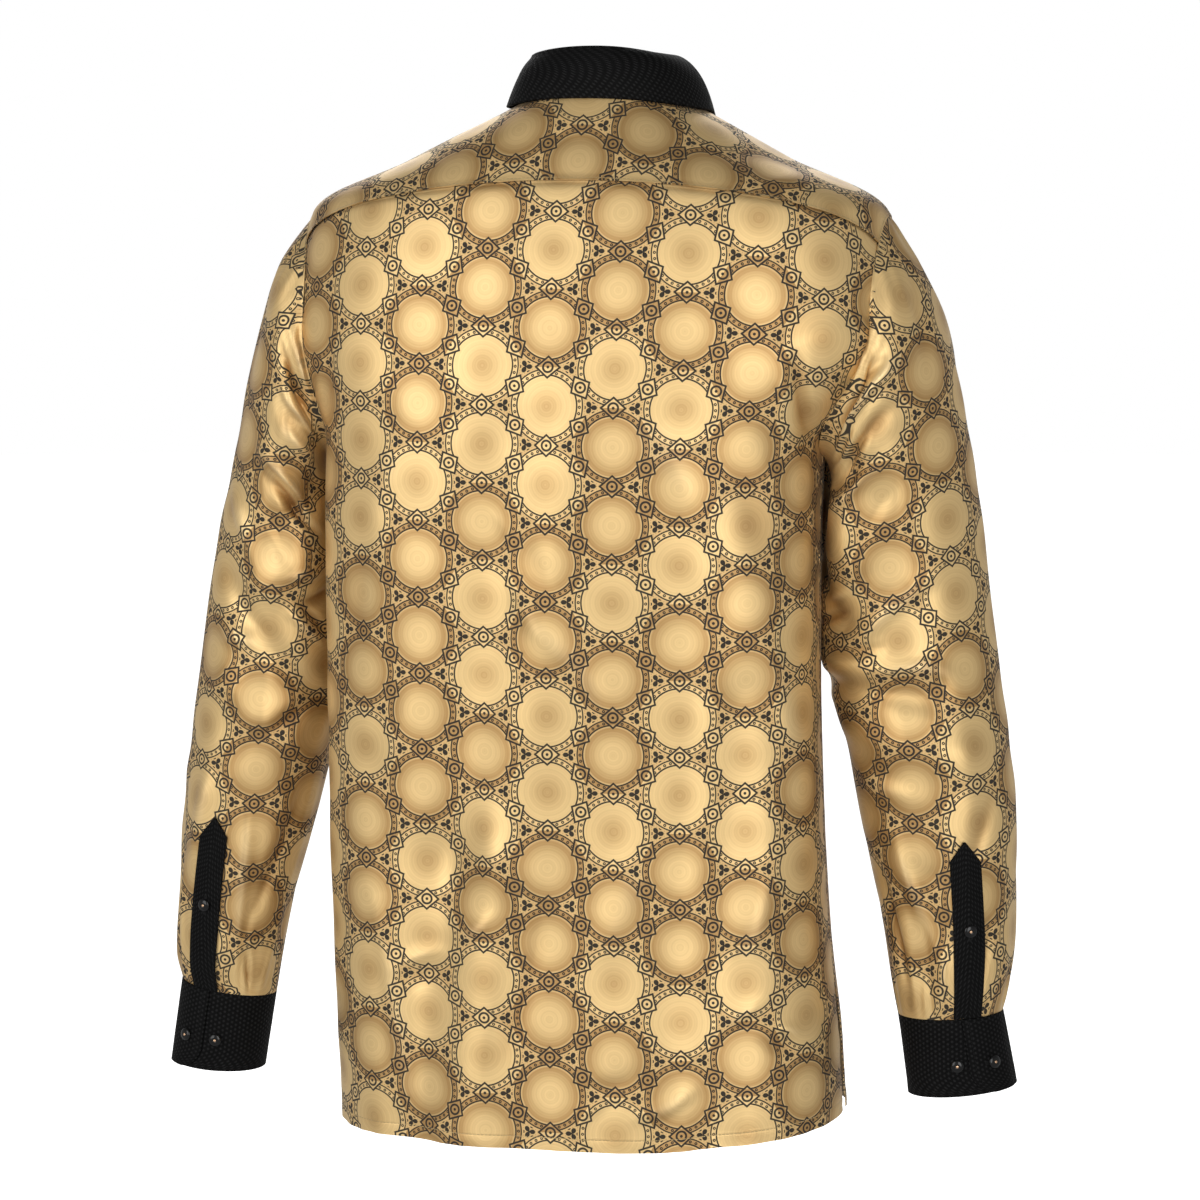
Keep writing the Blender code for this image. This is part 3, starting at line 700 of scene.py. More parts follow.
def sleeve_point(side, turn, along, out=0.0, creased=True):
    """Points on the sleeve's cloth and their outward normals."""
    normal = sleeve_normal(side, turn, along)
    here = sleeve_form(side, turn, along)
    to_end = SLEEVE_END - along
    round_mm = (turn % 360.0) * DEGREE_MM
    facing_body = np.exp(-(((turn % 360.0 - FACING_TURN) / FACING_WIDTH) ** 2))

    def pressed(height):
        """No fold stands out on the side that faces the body."""
        return np.where(height > 0, height * (1 - facing_body), height)

    lift = pressed(all_round(fold_height, SLEEVE_FOLDS[side], round_mm, along))
    lift *= np.minimum(np.minimum(along / 50.0, to_end / 30.0), 1.0)
    if creased:
        held = ramp(np.minimum(along / 7.0, to_end / 9.0))
        lift += pressed(sleeve_fine(side, turn, along, round_mm)) * held
    here = here + normal * (lift + out)[:, None]
    if side == "right":
        near = np.exp(-(((turn % 360.0 - HUG_TURN) / HUG_WIDTH) ** 2))
        near = near * ramp(along / HUG_START) * soft_ramp((HUG_END - along) / HUG_FADE)
        here[:, 0] += near * np.maximum(-here[:, 0] - body_reach(here), 0.0)
    return here, normal


def body_reach(points):
    """How far the sleeve's underside may come in beside the body's right side."""
    rows = np.arange(3, 8)
    depths = [-BODY_RINGS[row][BODY_COLUMNS.index("z_right")] for row in rows]
    ring = body_ring(np.interp(-points[:, 2], depths, rows))
    at_back = points[:, 1] > ring["y_side"]
    square = np.where(at_back, ring["square_back"], ring["square_front"])
    deep = (points[:, 1] - ring["y_side"]) / np.where(at_back, ring["y_back"], ring["y_front"])
    middle, half = middle_and_half(ring["left"], ring["right"])
    edge = half * ramp(1.0 - np.abs(deep) ** square) ** (1.0 / square) - middle
    return np.maximum(edge + HUG_CLEAR, -ring["right"] - 2.0 + HUG_SLANT * np.minimum(points[:, 1], 0.0))


def cuff_point(side, turn, share, out=0.0):
    names = SLEEVE_COLUMNS[1:]
    end = {name: np.full(len(turn), float(value)) for name, value in zip(names, CUFF_ENDS[side])}

    def form(a, b):
        top = ring_at(side, SLEEVE_END, a)
        return top + (ring_point(side, end, a) - top) * b[:, None]

    inside = np.clip(share, 0.02, 0.98)
    here = form(turn, share)
    normal = normals_of(form, turn, inside, 2.0, 0.02)
    normal = facing(normal, here - 0.5 * (here + form(turn + 180.0, share)))
    return here + normal * np.reshape(out, (-1, 1)), normal


def cuff_lift(side, turn):
    over = 1.0 - ramp((OPENING_ANGLE[side] - turn) / CUFF_EASE)
    return CUFF_RISE * np.sqrt(over)


def cuff_place(side):
    """The cuff as a strip round the wrist. Its covering end has a rounded lower corner."""
    def place(u, v):
        length = math.radians(360.0 + CUFF_LAP) * CUFF_RADIUS
        ends = cuff_point(side, np.array([60.0, 60.0]), np.array([0.0, 1.0]))[0]
        drop = np.linalg.norm(np.diff(ends, axis=0))
        above = ramp((CUFF_CORNER - (1 - v) * drop) / CUFF_CORNER)
        cut = CUFF_CORNER * (1 - np.sqrt(np.maximum(1 - above**2, 0.0)))
        at = cut + u * (length - cut)
        turn = OPENING_ANGLE[side] - (360.0 + CUFF_LAP) * at / length
        return cuff_point(side, turn, v, cuff_lift(side, turn))

    return place


def placket_place(side):
    """The strip above the cuff's opening, laid on the sleeve, with a pointed top."""
    def place(u, v):
        across = 2 * u - 1
        top = PLACKET_SHOULDER + (PLACKET_PEAK - PLACKET_SHOULDER) * (1 - np.abs(across))
        along = SLEEVE_END - 1.0 - (top - 1.0) * (1 - v)
        start = np.full_like(along, PLACKET_ANGLE[side])
        step = sleeve_form(side, start + 1.0, along) - sleeve_form(side, start, along)
        degree_mm = np.linalg.norm(step, axis=1)
        narrow = 1.0 - 0.12 * ramp((v - 0.6) / 0.4)
        turn = PLACKET_ANGLE[side] + across * narrow * PLACKET_WIDTH / (2 * degree_mm)
        return sleeve_point(side, turn, along, PLACKET_LAY + TRIM_RISE, creased=False)

    return place


def collar_point(ring, angle):
    """Points on a collar ring. The angle is 0 at the back and 180 at the front."""
    half_width, middle, half_depth, z_back, z_side, z_front = ring
    turn = np.radians(angle)
    end = np.where(np.cos(turn) > 0, z_back, z_front)
    x = COLLAR_CENTRE_X + half_width * np.sin(turn) + COLLAR_SLUMP * ramp(-np.sin(turn)) ** 2
    y = middle + half_depth * np.cos(turn)
    z = z_side + (end - z_side) * np.cos(turn) ** 2
    return np.stack([x, y, z], axis=1)


def away_from_neck(points):
    return unit(np.stack([points[:, 0] - COLLAR_CENTRE_X, points[:, 1] + 8.0, 0 * points[:, 0]], axis=1))


def stand_place(u, v):
    angle = -180.0 - STAND_LAP + (360.0 + 2 * STAND_LAP) * u
    over = ramp((angle - 130.0) / 40.0)
    under = ramp((-130.0 - angle) / 40.0)
    foot = body_form(angle, np.zeros_like(angle)) + np.array([0.0, 0.0, STAND_RISE])
    top = collar_point(STAND_TOP, angle)
    here = top + (foot - top) * v[:, None]
    normal = away_from_neck(here)
    return here + normal * (1.3 * (over - under))[:, None], normal


def fall_foot(angle):
    reach = ramp((np.abs(angle) - FALL_POINT_START) / (180.0 - COLLAR_SPREAD - FALL_POINT_START))
    side = np.sin(np.radians(angle)) ** 2
    edge = FALL_ROW + (FALL_SIDE_ROW - FALL_ROW) * side
    row = edge + (FALL_POINT_ROW - edge) * reach**1.6
    return body_point(angle, row, FALL_CLEAR, creased=False)[0]


def fall_place(u, v):
    """The fall rolls from inside the stand over its top and hangs outside it, with points in front."""
    angle = (2 * u - 1) * (180.0 - COLLAR_SPREAD)
    upward = np.array([0.0, 0.0, 1.0])
    top = collar_point(FALL_TOP, angle) - COLLAR_ROLL * upward
    down = ramp((v - ROLL_SHARE) / (1 - ROLL_SHARE))
    here = top + (fall_foot(angle) - top) * down[:, None]
    away = away_from_neck(top)
    slumped = ramp(-np.sin(np.radians(angle)))
    kept = SLUMP_SHARE * slumped
    turned = kept * (1 - down) + (1 - kept) * ramp((ROLL_SHARE - v) / (ROLL_SHARE - LEG_SHARE))
    turned = math.pi * turned[:, None]
    leg = ramp((LEG_SHARE - v) / LEG_SHARE)[:, None]
    here = here - away * COLLAR_ROLL * (1 - np.cos(turned))
    here = here + upward * (COLLAR_ROLL * np.sin(turned) - LEG_DROP * leg)
    raised = 0.35 + 0.5 * slumped * (1 - down)
    hanging = unit(away_from_neck(here) + raised[:, None] * upward)
    hanging = np.where(turned > 0.5 * math.pi, away, hanging)
    normal = unit(hanging * np.cos(turned) + upward * np.sin(turned))
    swell = FALL_BELLY + FALL_SWELL * slumped
    return here + normal * (swell * np.sin(math.pi * down**0.8))[:, None], normal


# Cloth meshes

def edge_stops(length, step):
    """Stops from 0 to 1 along a length in millimetres, closer together at both ends."""
    near = [0.0, 0.25, 0.7, 1.4, 2.4]
    count = max(2, round((length - 2 * near[-1]) / step))
    middle = np.linspace(near[-1], length - near[-1], count + 1)
    far = [length - d for d in reversed(near[:-1])]
    return np.concatenate([near[:-1], middle, far]) / length


def even_stops(length, step):
    return np.linspace(0.0, 1.0, max(2, round(length / step)) + 1)


def running(steps, axis):
    """The sum of the steps so far, from 0 at the first point."""
    start = np.zeros_like(np.take(steps, [0], axis=axis))
    return np.cumsum(np.concatenate([start, steps], axis=axis), axis=axis)


def run_length(points, axis):
    """The distance in millimetres from the first row or column to each point."""
    return running(np.linalg.norm(np.diff(points, axis=axis), axis=2), axis)


NO_STITCH = 50.0


class Layout:
    """A piece of cloth laid out as a grid of points, with the distances from its four edges."""

    def __init__(self, place, across, down, smooth_place=None):
        u, v = np.meshgrid(across, down)
        points, normals = place(u.ravel(), v.ravel())
        smooth = smooth_place(u.ravel(), v.ravel())[0] if smooth_place else points
        self.creased = np.einsum("ij,ij->i", points - smooth, normals).reshape(u.shape)
        self.u = u
        self.v = v
        self.points = points.reshape(*u.shape, 3)
        self.normals = normals.reshape(*u.shape, 3)
        self.from_left = run_length(self.points, 1)
        self.from_right = self.from_left[:, -1:] - self.from_left
        self.from_top = run_length(self.points, 0)
        self.from_foot = self.from_top[-1:, :] - self.from_top
        self.relief = np.zeros_like(u)
        self.stitches = []

    def lift(self, height):
        self.relief = self.relief + height

    def stitch(self, distance, offset, along):
        """A row of stitches at an offset from an edge."""
        self.stitches.append((distance - offset, along))

    def roll(self, distance, thick):
        """Rounds an edge off over its thickness."""
        inside = ramp(distance / thick)
        self.lift(-0.45 * thick * (1 - np.sqrt(1 - (1 - inside) ** 2)))

    def sides(self):
        return np.minimum(self.from_left, self.from_right)

    def centred(self):
        return self.from_left - self.from_left[:, -1:] / 2

    def placed(self):
        return self.points + self.normals * self.relief[:, :, None]

    def level_run(self):
        """How far each point is along its row, leaving out its rise and fall, from the row's middle."""
        steps = np.diff(self.points, axis=1)
        run = running(np.hypot(steps[:, :, 0], steps[:, :, 1]), 1)
        return run - run[:, -1:] / 2

    def level_drop(self, column):
        """How far down the cloth each point is, by its height and the length of one column."""
        heights = self.points[:, column, 2]
        drop = self.from_top[:, column]
        order = np.argsort(heights)
        inside = np.interp(self.points[:, :, 2], heights[order], drop[order])
        return inside - np.maximum(self.points[:, :, 2] - heights.max(), 0.0)

    def nearest_stitch(self):
        if not self.stitches:
            return np.full(self.u.shape, NO_STITCH), np.zeros(self.u.shape)
        away = np.stack([row[0] for row in self.stitches])
        along = np.stack([np.broadcast_to(row[1], self.u.shape) for row in self.stitches])
        pick = np.abs(away).argmin(axis=0)[None]
        return np.take_along_axis(away, pick, 0)[0], np.take_along_axis(along, pick, 0)[0]


FLAT_EVERY = 6
FLAT_ROUNDS = 1500


def flattened(layout, flat_u, flat_v):
    """Eases a first guess of the flat cloth until its lengths match those on the form."""
    rows, columns = (np.unique(np.append(np.arange(0, n, FLAT_EVERY), n - 1)) for n in layout.u.shape)
    pick = np.ix_(rows, columns)
    form = layout.points[pick]
    guess = np.stack([flat_u, flat_v], axis=2)
    flat = guess[pick]
    low, high, whole = slice(None, -1), slice(1, None), slice(None)
    links = [((whole, low), (whole, high)), ((low, whole), (high, whole)),
             ((low, low), (high, high)), ((high, low), (low, high))]
    wanted = [np.linalg.norm(form[b] - form[a], axis=2) for a, b in links]
    for _ in range(FLAT_ROUNDS):
        moves = np.zeros_like(flat)
        for (a, b), want in zip(links, wanted):
            step = flat[b] - flat[a]
            step = step * (1 - want / np.maximum(np.linalg.norm(step, axis=2), 1e-6))[:, :, None]
            moves[a] += step
            moves[b] -= step
        flat = flat + moves / 8
    moved = flat - guess[pick]
    moved = moved - moved[len(rows) // 2, len(columns) // 2]
    every_row = np.arange(layout.u.shape[0])
    every_column = np.arange(layout.u.shape[1])
    shifts = []
    for axis in range(2):
        down = np.stack([np.interp(every_row, rows, column) for column in moved[:, :, axis].T], axis=1)
        shifts.append(np.stack([np.interp(every_column, columns, row) for row in down]))
    return flat_u + shifts[0], flat_v + shifts[1]


def sew(name, layout, pattern_u, pattern_v, wall, outside, inside, tube=False):
    """Makes the mesh of a laid-out piece: a grid set in place, then extruded inwards to its wall."""
    rows, columns = layout.u.shape
    bm = bmesh.new()
    bmesh.ops.create_grid(bm, x_segments=columns - 1, y_segments=rows - 1, size=1.0)
    outward = bm.verts.layers.float_vector.new("outward")
    away = bm.verts.layers.float.new("stitch_away")
    along = bm.verts.layers.float.new("stitch_along")
    depth = bm.verts.layers.float.new("fold_height")
    uv = bm.loops.layers.uv.new("cloth")
    points = layout.placed()
    stitch_away, stitch_along = layout.nearest_stitch()
    cells = {}
    for vert in bm.verts:
        row = round((1.0 - vert.co.y) / 2.0 * (rows - 1))
        cells[vert] = (row, round((vert.co.x + 1.0) / 2.0 * (columns - 1)))
    for face in bm.faces:
        for loop in face.loops:
            cell = cells[loop.vert]
            loop[uv].uv = (pattern_u[cell] * MM, pattern_v[cell] * MM)
    for vert, cell in cells.items():
        vert.co = points[cell] * MM
        vert[outward] = layout.normals[cell]
        vert[away] = stitch_away[cell]
        vert[along] = stitch_along[cell]
        vert[depth] = layout.relief[cell] + layout.creased[cell]
    if tube:
        bmesh.ops.remove_doubles(bm, verts=bm.verts, dist=0.00002)
    made = bmesh.ops.extrude_face_region(bm, geom=list(bm.faces), use_keep_orig=True)
    for item in made["geom"]:
        if isinstance(item, bmesh.types.BMVert):
            item.co -= item[outward] * wall
        elif isinstance(item, bmesh.types.BMFace):
            item.material_index = 1
    bm.verts.layers.float_vector.remove(bm.verts.layers.float_vector["outward"])
    bmesh.ops.recalc_face_normals(bm, faces=bm.faces)
    return finish_piece(name, bm, [outside, inside])


def put(name, data):
    """An object in the scene."""
    thing = bpy.data.objects.new(name, data)
    bpy.context.collection.objects.link(thing)
    return thing


def finish_piece(name, bm, looks):
    """The piece of a finished bmesh, riding on the part's one body."""
    mesh = bpy.data.meshes.new(name)
    bm.to_mesh(mesh)
    bm.free()
    mesh.shade_smooth()
    mesh.set_sharp_from_angle(angle=math.radians(65))
    piece = put(name, mesh)
    for finish in looks:
        piece.data.materials.append(finish)
    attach(piece, "root")
    return piece


# Shader building

def math_pair(operation, turned=False):
    """A method of Wire that adds a Math node for it and another value, or for both turned round."""
    def method(self, other):
        return self.math(operation, *((other, self) if turned else (self, other)))

    return method


def math_alone(operation):
    return lambda self: self.math(operation, self)


class Wire:
    """A shader socket. Arithmetic on it adds Math nodes."""

    __add__ = math_pair("ADD")
    __radd__ = math_pair("ADD", turned=True)
    __sub__ = math_pair("SUBTRACT")
    __rsub__ = math_pair("SUBTRACT", turned=True)
    __mul__ = math_pair("MULTIPLY")
    __rmul__ = math_pair("MULTIPLY", turned=True)
    __truediv__ = math_pair("DIVIDE")
    __lt__ = math_pair("LESS_THAN")
    __gt__ = math_pair("GREATER_THAN")
    most = math_pair("MAXIMUM")
    least = math_pair("MINIMUM")
    size = math_alone("ABSOLUTE")
    sine = math_alone("SINE")
    cosine = math_alone("COSINE")

    def __init__(self, tree, socket):
        self.tree = tree
        self.socket = socket

    def node(self, kind, settings=None, values=None, out=0):
        """Adds a node: its settings first, then its sockets' values or links."""
        made = self.tree.nodes.new(kind)
        for key, value in (settings or {}).items():
            setattr(made, key, value)
        for key, value in (values or {}).items():
            if isinstance(value, Wire):
                self.tree.links.new(value.socket, made.inputs[key])
            else:
                made.inputs[key].default_value = value
        return Wire(self.tree, made.outputs[out])

    def math(self, operation, *values):
        return self.node("ShaderNodeMath", {"operation": operation}, dict(enumerate(values)))

    def middle_of(self, period):
        """The signed distance to the nearest multiple of a period."""
        return self - period * self.math("ROUND", self / period)

    def wave(self, length):
        return (self * (2 * math.pi / length)).sine()

    def below(self, edge, soft=0.12):
        """1 below the edge, falling to 0 over a soft stretch either side of it."""
        return self.node("ShaderNodeMapRange", {"interpolation_type": "SMOOTHSTEP"}, {
            "Value": self, "From Min": edge + soft, "From Max": edge - soft, "To Min": 0.0, "To Max": 1.0})

    def band(self, centre, half, soft=0.12):
        """1 within half of the centre, falling to 0 over a soft edge."""
        return (self - centre).size().below(half, soft)

    def times(self, colour):
        """This colour, multiplied by another."""
        return self.node("ShaderNodeVectorMath", {"operation": "MULTIPLY"}, {0: self, 1: colour})

    def tint(self, low, high):
        """A colour from low to high as this goes from 0 to 1."""
        mixed = self.tree.nodes.new("ShaderNodeMix")
        mixed.data_type = "RGBA"
        self.tree.links.new(self.socket, mixed.inputs["Factor"])
        for key, value in (("A", low), ("B", high)):
            socket = next(s for s in mixed.inputs if s.name == key and s.type == "RGBA")
            if isinstance(value, Wire):
                self.tree.links.new(value.socket, socket)
            else:
                socket.default_value = (*value, 1.0)
        return Wire(self.tree, next(s for s in mixed.outputs if s.type == "RGBA"))


def length_of(x, y):
    return x.math("SQRT", x * x + y * y)


def new_material(name, **plain):
    """A material, with the sockets that hold one value all over."""
    made = bpy.data.materials.new(name)
    made.use_nodes = True
    shader = made.node_tree.nodes["Principled BSDF"]
    for socket, value in plain.items():
        shader.inputs[socket.replace("_", " ")].default_value = value
    return made, made.node_tree, shader


def source(tree, kind, settings=None, out=0):
    return Wire(tree, None).node(kind, settings, None, out)


def connect(shader, **wires):
    """Links each wire to the socket of that name."""
    for socket, wire in wires.items():
        wire.tree.links.new(wire.socket, shader.inputs[socket.replace("_", " ")])


def bumped(height, strength):
    return height.node("ShaderNodeBump", None, {"Height": height, "Strength": strength, "Distance": MM})


def split(vector):
    """The three numbers of a vector."""
    parts = vector.node("ShaderNodeSeparateXYZ", None, {0: vector})
    return [Wire(vector.tree, parts.socket.node.outputs[k]) for k in range(3)]


def cloth_millimetres(tree):
    x, y, _ = split(source(tree, "ShaderNodeUVMap", {"uv_map": "cloth"}))
    return x * 1000.0, y * 1000.0


def carried(tree, name):
    """A number that the mesh carries on its points."""
    return source(tree, "ShaderNodeAttribute", {"attribute_name": name}, "Fac")


def noise(tree, scale, detail=2.0, rough=0.5):
    """Even noise through the whole object."""
    at = source(tree, "ShaderNodeTexCoord", out="Object")
    return at.node("ShaderNodeTexNoise", {"noise_dimensions": "3D"}, {
        "Vector": at, "Scale": scale, "Detail": detail, "Roughness": rough})


STITCH_PITCH = 3.0


def stitch_marks(tree):
    """Masks of the sewing stitches and of the dent that they pull into the cloth."""
    away = carried(tree, "stitch_away")
    spaced = carried(tree, "stitch_along").middle_of(STITCH_PITCH)
    thread = away.band(0.0, 0.3) * spaced.band(0.0, 0.36 * STITCH_PITCH, 0.2)
    return thread, away.band(0.0, 0.5, 0.9)


def half_drop(x, y, pitch):
    """Places in the nearest cell of a half-drop repeat, whose centres are the pitch apart."""
    wide = pitch * math.sqrt(3)
    first_x = x.middle_of(wide)
    first_y = y.middle_of(pitch)
    second_x = (x - wide / 2).middle_of(wide)
    second_y = (y - pitch / 2).middle_of(pitch)
    nearer = length_of(second_x, second_y) < length_of(first_x, first_y)
    return first_x + (second_x - first_x) * nearer, first_y + (second_y - first_y) * nearer


# The cloth's design in millimetres, drawn for roundels this far apart. A line has its distance from the
# centre, half its width and how soft its edge is.
DESIGN_PITCH = 57.0
DISC_RADIUS = 22.2
INNER_LINE = (22.8, 0.58, 0.2)
OUTER_LINE = (27.0, 0.50, 0.2)
BEADS = 34
BEAD_RADIUS = 24.8
BEAD_SPACING = 4.58
BEAD_SIZE = 1.15
LOZENGE_SIZE = 7.6
LOZENGE_LINE = (7.7, 0.95, 0.2)
EYE_LINE = (3.6, 0.80, 0.2)
LEAF_SIZE = 4.4
DOT_RING = 3.9


def roundel_design(x, y, pitch):
    """The cloth's design: roundels in half-drop, lozenges where they touch, sprigs in the gaps."""
    cell_x, cell_y = half_drop(x, y, pitch)
    radius = length_of(cell_x, cell_y)
    angle = x.math("ARCTAN2", cell_y, cell_x)
    chance = x.node("ShaderNodeTexWhiteNoise", {"noise_dimensions": "2D"}, {
        "Vector": x.node("ShaderNodeCombineXYZ", None, {
            0: x.math("ROUND", (x - cell_x) / 10.0), 1: x.math("ROUND", (y - cell_y) / 10.0)})})

    def line(distance, centre, half, soft):
        return distance.band(centre * scale, half, soft)

    scale = pitch / DESIGN_PITCH
    disc = radius.below(DISC_RADIUS * scale)
    round_lines = line(radius, *INNER_LINE).most(line(radius, *OUTER_LINE))
    bead_angle = (angle * (BEADS / (2 * math.pi))).middle_of(1.0) * (BEAD_SPACING * scale)
    bead = length_of(bead_angle, radius - BEAD_RADIUS * scale)
    beads = bead.below(BEAD_SIZE * scale, 0.25) - bead.below(0.35)

    sixth = (angle * (3 / math.pi)).middle_of(1.0).size() * (math.pi / 3)
    flank_x = radius * sixth.cosine()
    flank_y = radius * sixth.sine()
    toward = flank_x * math.cos(math.pi / 6) + flank_y * math.sin(math.pi / 6) - pitch / 2
    aside = flank_y * math.cos(math.pi / 6) - flank_x * math.sin(math.pi / 6)
    lozenge = toward.size() + aside.size() * 0.86
    lozenge_inside = lozenge.below(LOZENGE_SIZE * scale)
    eye = length_of(toward, aside)
    eye_line = line(eye, *EYE_LINE).most(eye.below(1.1))

    gap_x = flank_x - pitch / math.sqrt(3)
    spoke = x.math("ARCTAN2", flank_y, gap_x) * 1.5
    reach = length_of(gap_x, flank_y)
    petal = reach / (spoke.cosine().size() + 0.08)
    leaf = petal.below(LEAF_SIZE * scale, 0.3)
    dot = (spoke.sine().size() > 0.93) * reach.band(DOT_RING * scale, 0.45)

    lines = round_lines.most(beads * (1 - disc)) * (1 - lozenge_inside)
    dark = lines.most(line(lozenge, *LOZENGE_LINE)).most(eye_line * lozenge_inside).most(leaf).most(dot)
    bead_band = radius.band(BEAD_RADIUS * scale, 1.9, 0.2)
    shiny = (disc * (1 - lozenge_inside)).most(lozenge_inside).most(bead_band)
    return radius, chance, dark, shiny


# Satin: how much each effect darkens or colours it
RING_TONE = 0.07
GOLD_TONE = 0.10
HEART_TONE = 0.38
EDGE_TONE = 0.60
RIM_PALE = 0.8
# Painted shade: the colour multiplied into the folds' troughs
FOLD_SHADE_COLOUR = (0.52, 0.36, 0.20)
# Paler colour mixed onto the folds' tops
PALE_TOP_COLOUR = (0.86, 0.74, 0.52)
STIPPLE_PITCH = 1.9
TWILL_WAVE = 0.9
GROUND_WAVE = 0.6
FLOAT_WAVE = 1.3


def satin_gold(radius, chance, slubs):
    """Gold of the roundels: tonal rings, and a dark heart in some and a dark edge in the others."""
    rings = (radius * 2.3 + chance * 6.0).sine() * (radius * 0.9 + chance * 11.0).sine()
    centre_dark = chance > 0.5
    heart = radius.below(9.0, 8.0) * centre_dark * HEART_TONE
    edge = (1 - radius.below(15.0, 8.0)) * (1 - centre_dark) * EDGE_TONE
    shade = rings * RING_TONE + GOLD_TONE + heart + edge
    shade = shade * (1 - radius.band(22.0, 0.5, 1.0) * RIM_PALE)
    tone = colours()
    return (shade + slubs * 0.12).least(1.0).tint(tuple(tone.satin), tuple(tone.satin_deep))


def fold_shaded_satin(tree, cloth, dark):
    """The cloth's colour, with painted shade deepening it in the folds' troughs, and paler on the folds'
    tops.
    """
    fold_relief = carried(tree, "fold_height")
    # Painted shade: the deeper a fold's trough, the darker the cloth is painted
    sunk = ((0.0 - fold_relief - 0.8) * 0.16).most(0.0).least(0.62)
    cloth = sunk.tint(cloth, cloth.times(FOLD_SHADE_COLOUR))
    # The folds' tops are mixed towards a paler colour, except on the design's dark lines
    pale_top = ((fold_relief - 1.2) * 0.06).most(0.0).least(0.14) * (1 - dark)
    return pale_top.tint(cloth, PALE_TOP_COLOUR)


def satin_material(name, reverse=False):
    """Gold satin with a woven design. The reverse is duller and shows the dark threads' floats."""
    made, tree, shader = new_material(
        name, Sheen_Weight=0.04 if reverse else 0.05, Sheen_Roughness=0.35, Specular_IOR_Level=0.4,
        Coat_Weight=0.08, Coat_Roughness=0.42)
    tone = colours()
    x, y = cloth_millimetres(tree)
    radius, chance, dark, shiny = roundel_design(x, y, sizes().roundel_pitch / MM)
    slubs = noise(tree, 38.0, 3.0, 0.6)
    stipple_x = x.middle_of(STIPPLE_PITCH)
    stipple = length_of(stipple_x, (y + x * 0.5).middle_of(STIPPLE_PITCH)).below(0.42, 0.2)
    ground = (stipple * 0.45 + slubs * 0.15).least(1.0).tint(tuple(tone.ground), tuple(tone.satin_deep))
    cloth = shiny.tint(ground, satin_gold(radius, chance, slubs))
    thread, dent = stitch_marks(tree)
    # Painted shade in the folds' troughs is added to the satin's colour here
    coloured = fold_shaded_satin(tree, (dark * 0.97).tint(cloth, tuple(tone.line)), dark)
    coloured = (thread * 0.85).tint(coloured, tuple(0.62 * c for c in tone.satin))
    twill = (x + y * 2.2).wave(TWILL_WAVE)
    cross = x.wave(GROUND_WAVE) * y.wave(GROUND_WAVE)
    rough = 0.40 + dark * 0.30 + (1 - shiny) * 0.10 + slubs * 0.10 + twill * 0.02
    metal = (0.60 - dark * 0.60 - (1 - shiny) * 0.18).most(0.0)
    height = (1 - dark) * 0.05 + twill * 0.012 + cross * (1 - shiny) * 0.02 + slubs * 0.10
    connect(shader, Normal=bumped(height - dent * 0.22 + thread * 0.30, 0.8))
    if reverse:
        floats = (x * 0.4 + y).wave(FLOAT_WAVE) * 0.5 + 0.5
        coloured = (floats * 0.25 + 0.35).tint(coloured, tuple(tone.line))
        rough = rough * 0.4 + 0.45
        metal = metal * 0.2
    connect(shader, Base_Color=coloured, Roughness=rough, Metallic=metal)
    return made


HONEYCOMB_PITCH = 3.8
THREAD_WAVE = 0.5


def black_weave_material(name):
    """Black cloth in a fine honeycomb weave, stitched in black, its raised cells carrying a painted
    highlight.
    """
    made, tree, shader = new_material(name, Specular_IOR_Level=0.06)
    x, y = cloth_millimetres(tree)
    raised = length_of(*half_drop(x, y, HONEYCOMB_PITCH)).below(0.95, 0.45)
    slubs = noise(tree, 60.0, 3.0, 0.6)
    thread, dent = stitch_marks(tree)
    black = tuple(colours().black)
    # Painted highlight: the raised cells of the weave are painted lighter than the black between them; the
    # slubs vary the tone at random
    coloured = (raised * 0.75 + slubs * 0.25).least(1.0).tint(black, tuple(c * 7.0 + 0.006 for c in black))
    coloured = (thread * 0.8).tint(coloured, (0.012, 0.012, 0.012))
    threads = x.wave(THREAD_WAVE) * y.wave(THREAD_WAVE)
    height = raised * 0.32 + threads * 0.02 + slubs * 0.06 - dent * 0.25 + thread * 0.28
    connect(shader, Base_Color=coloured, Roughness=0.62 - raised * 0.14 + slubs * 0.12,
            Normal=bumped(height, 0.9))
    return made


def button_material(name):
    """Polished black, with faint turning marks and fine scratches."""
    made, tree, shader = new_material(name, Specular_IOR_Level=0.28, Coat_Weight=0.12, Coat_Roughness=0.05)
    marks = noise(tree, 900.0)
    scratches = noise(tree, 5200.0, 2.0, 0.7)
    connect(shader, Base_Color=(marks * 0.6).tint((0.003, 0.003, 0.003), (0.010, 0.010, 0.010)),
            Roughness=0.10 + marks * 0.06 + scratches * 0.08)
    return made


def bronze_material(name):
    made, tree, shader = new_material(name, Metallic=0.7)
    marks = noise(tree, 2400.0, 2.0, 0.6)
    tone = tuple(colours().bronze)
    connect(shader, Base_Color=(marks * 0.8).tint(tone, tuple(c * 0.55 for c in tone)),
            Roughness=0.22 + marks * 0.18)
    return made


LOOKS = {
    "gold_satin": satin_material,
    "gold_satin_reverse": lambda name: satin_material(name, reverse=True),
    "black_honeycomb": black_weave_material,
    "black_polish": button_material,
    "bronze_stud": bronze_material,
}


def look(name):
    """A material by name, made once."""
    return bpy.data.materials.get(name) or LOOKS[name](name)


def satin_piece(name, layout, pattern_u, pattern_v, nodes, tube=False):
    pattern_u, pattern_v = flattened(layout, pattern_u, pattern_v)
    piece = sew(name, layout, pattern_u, pattern_v, sizes().cloth_wall,
                look("gold_satin"), look("gold_satin_reverse"), tube)
    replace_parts(piece, *nodes)
    return piece


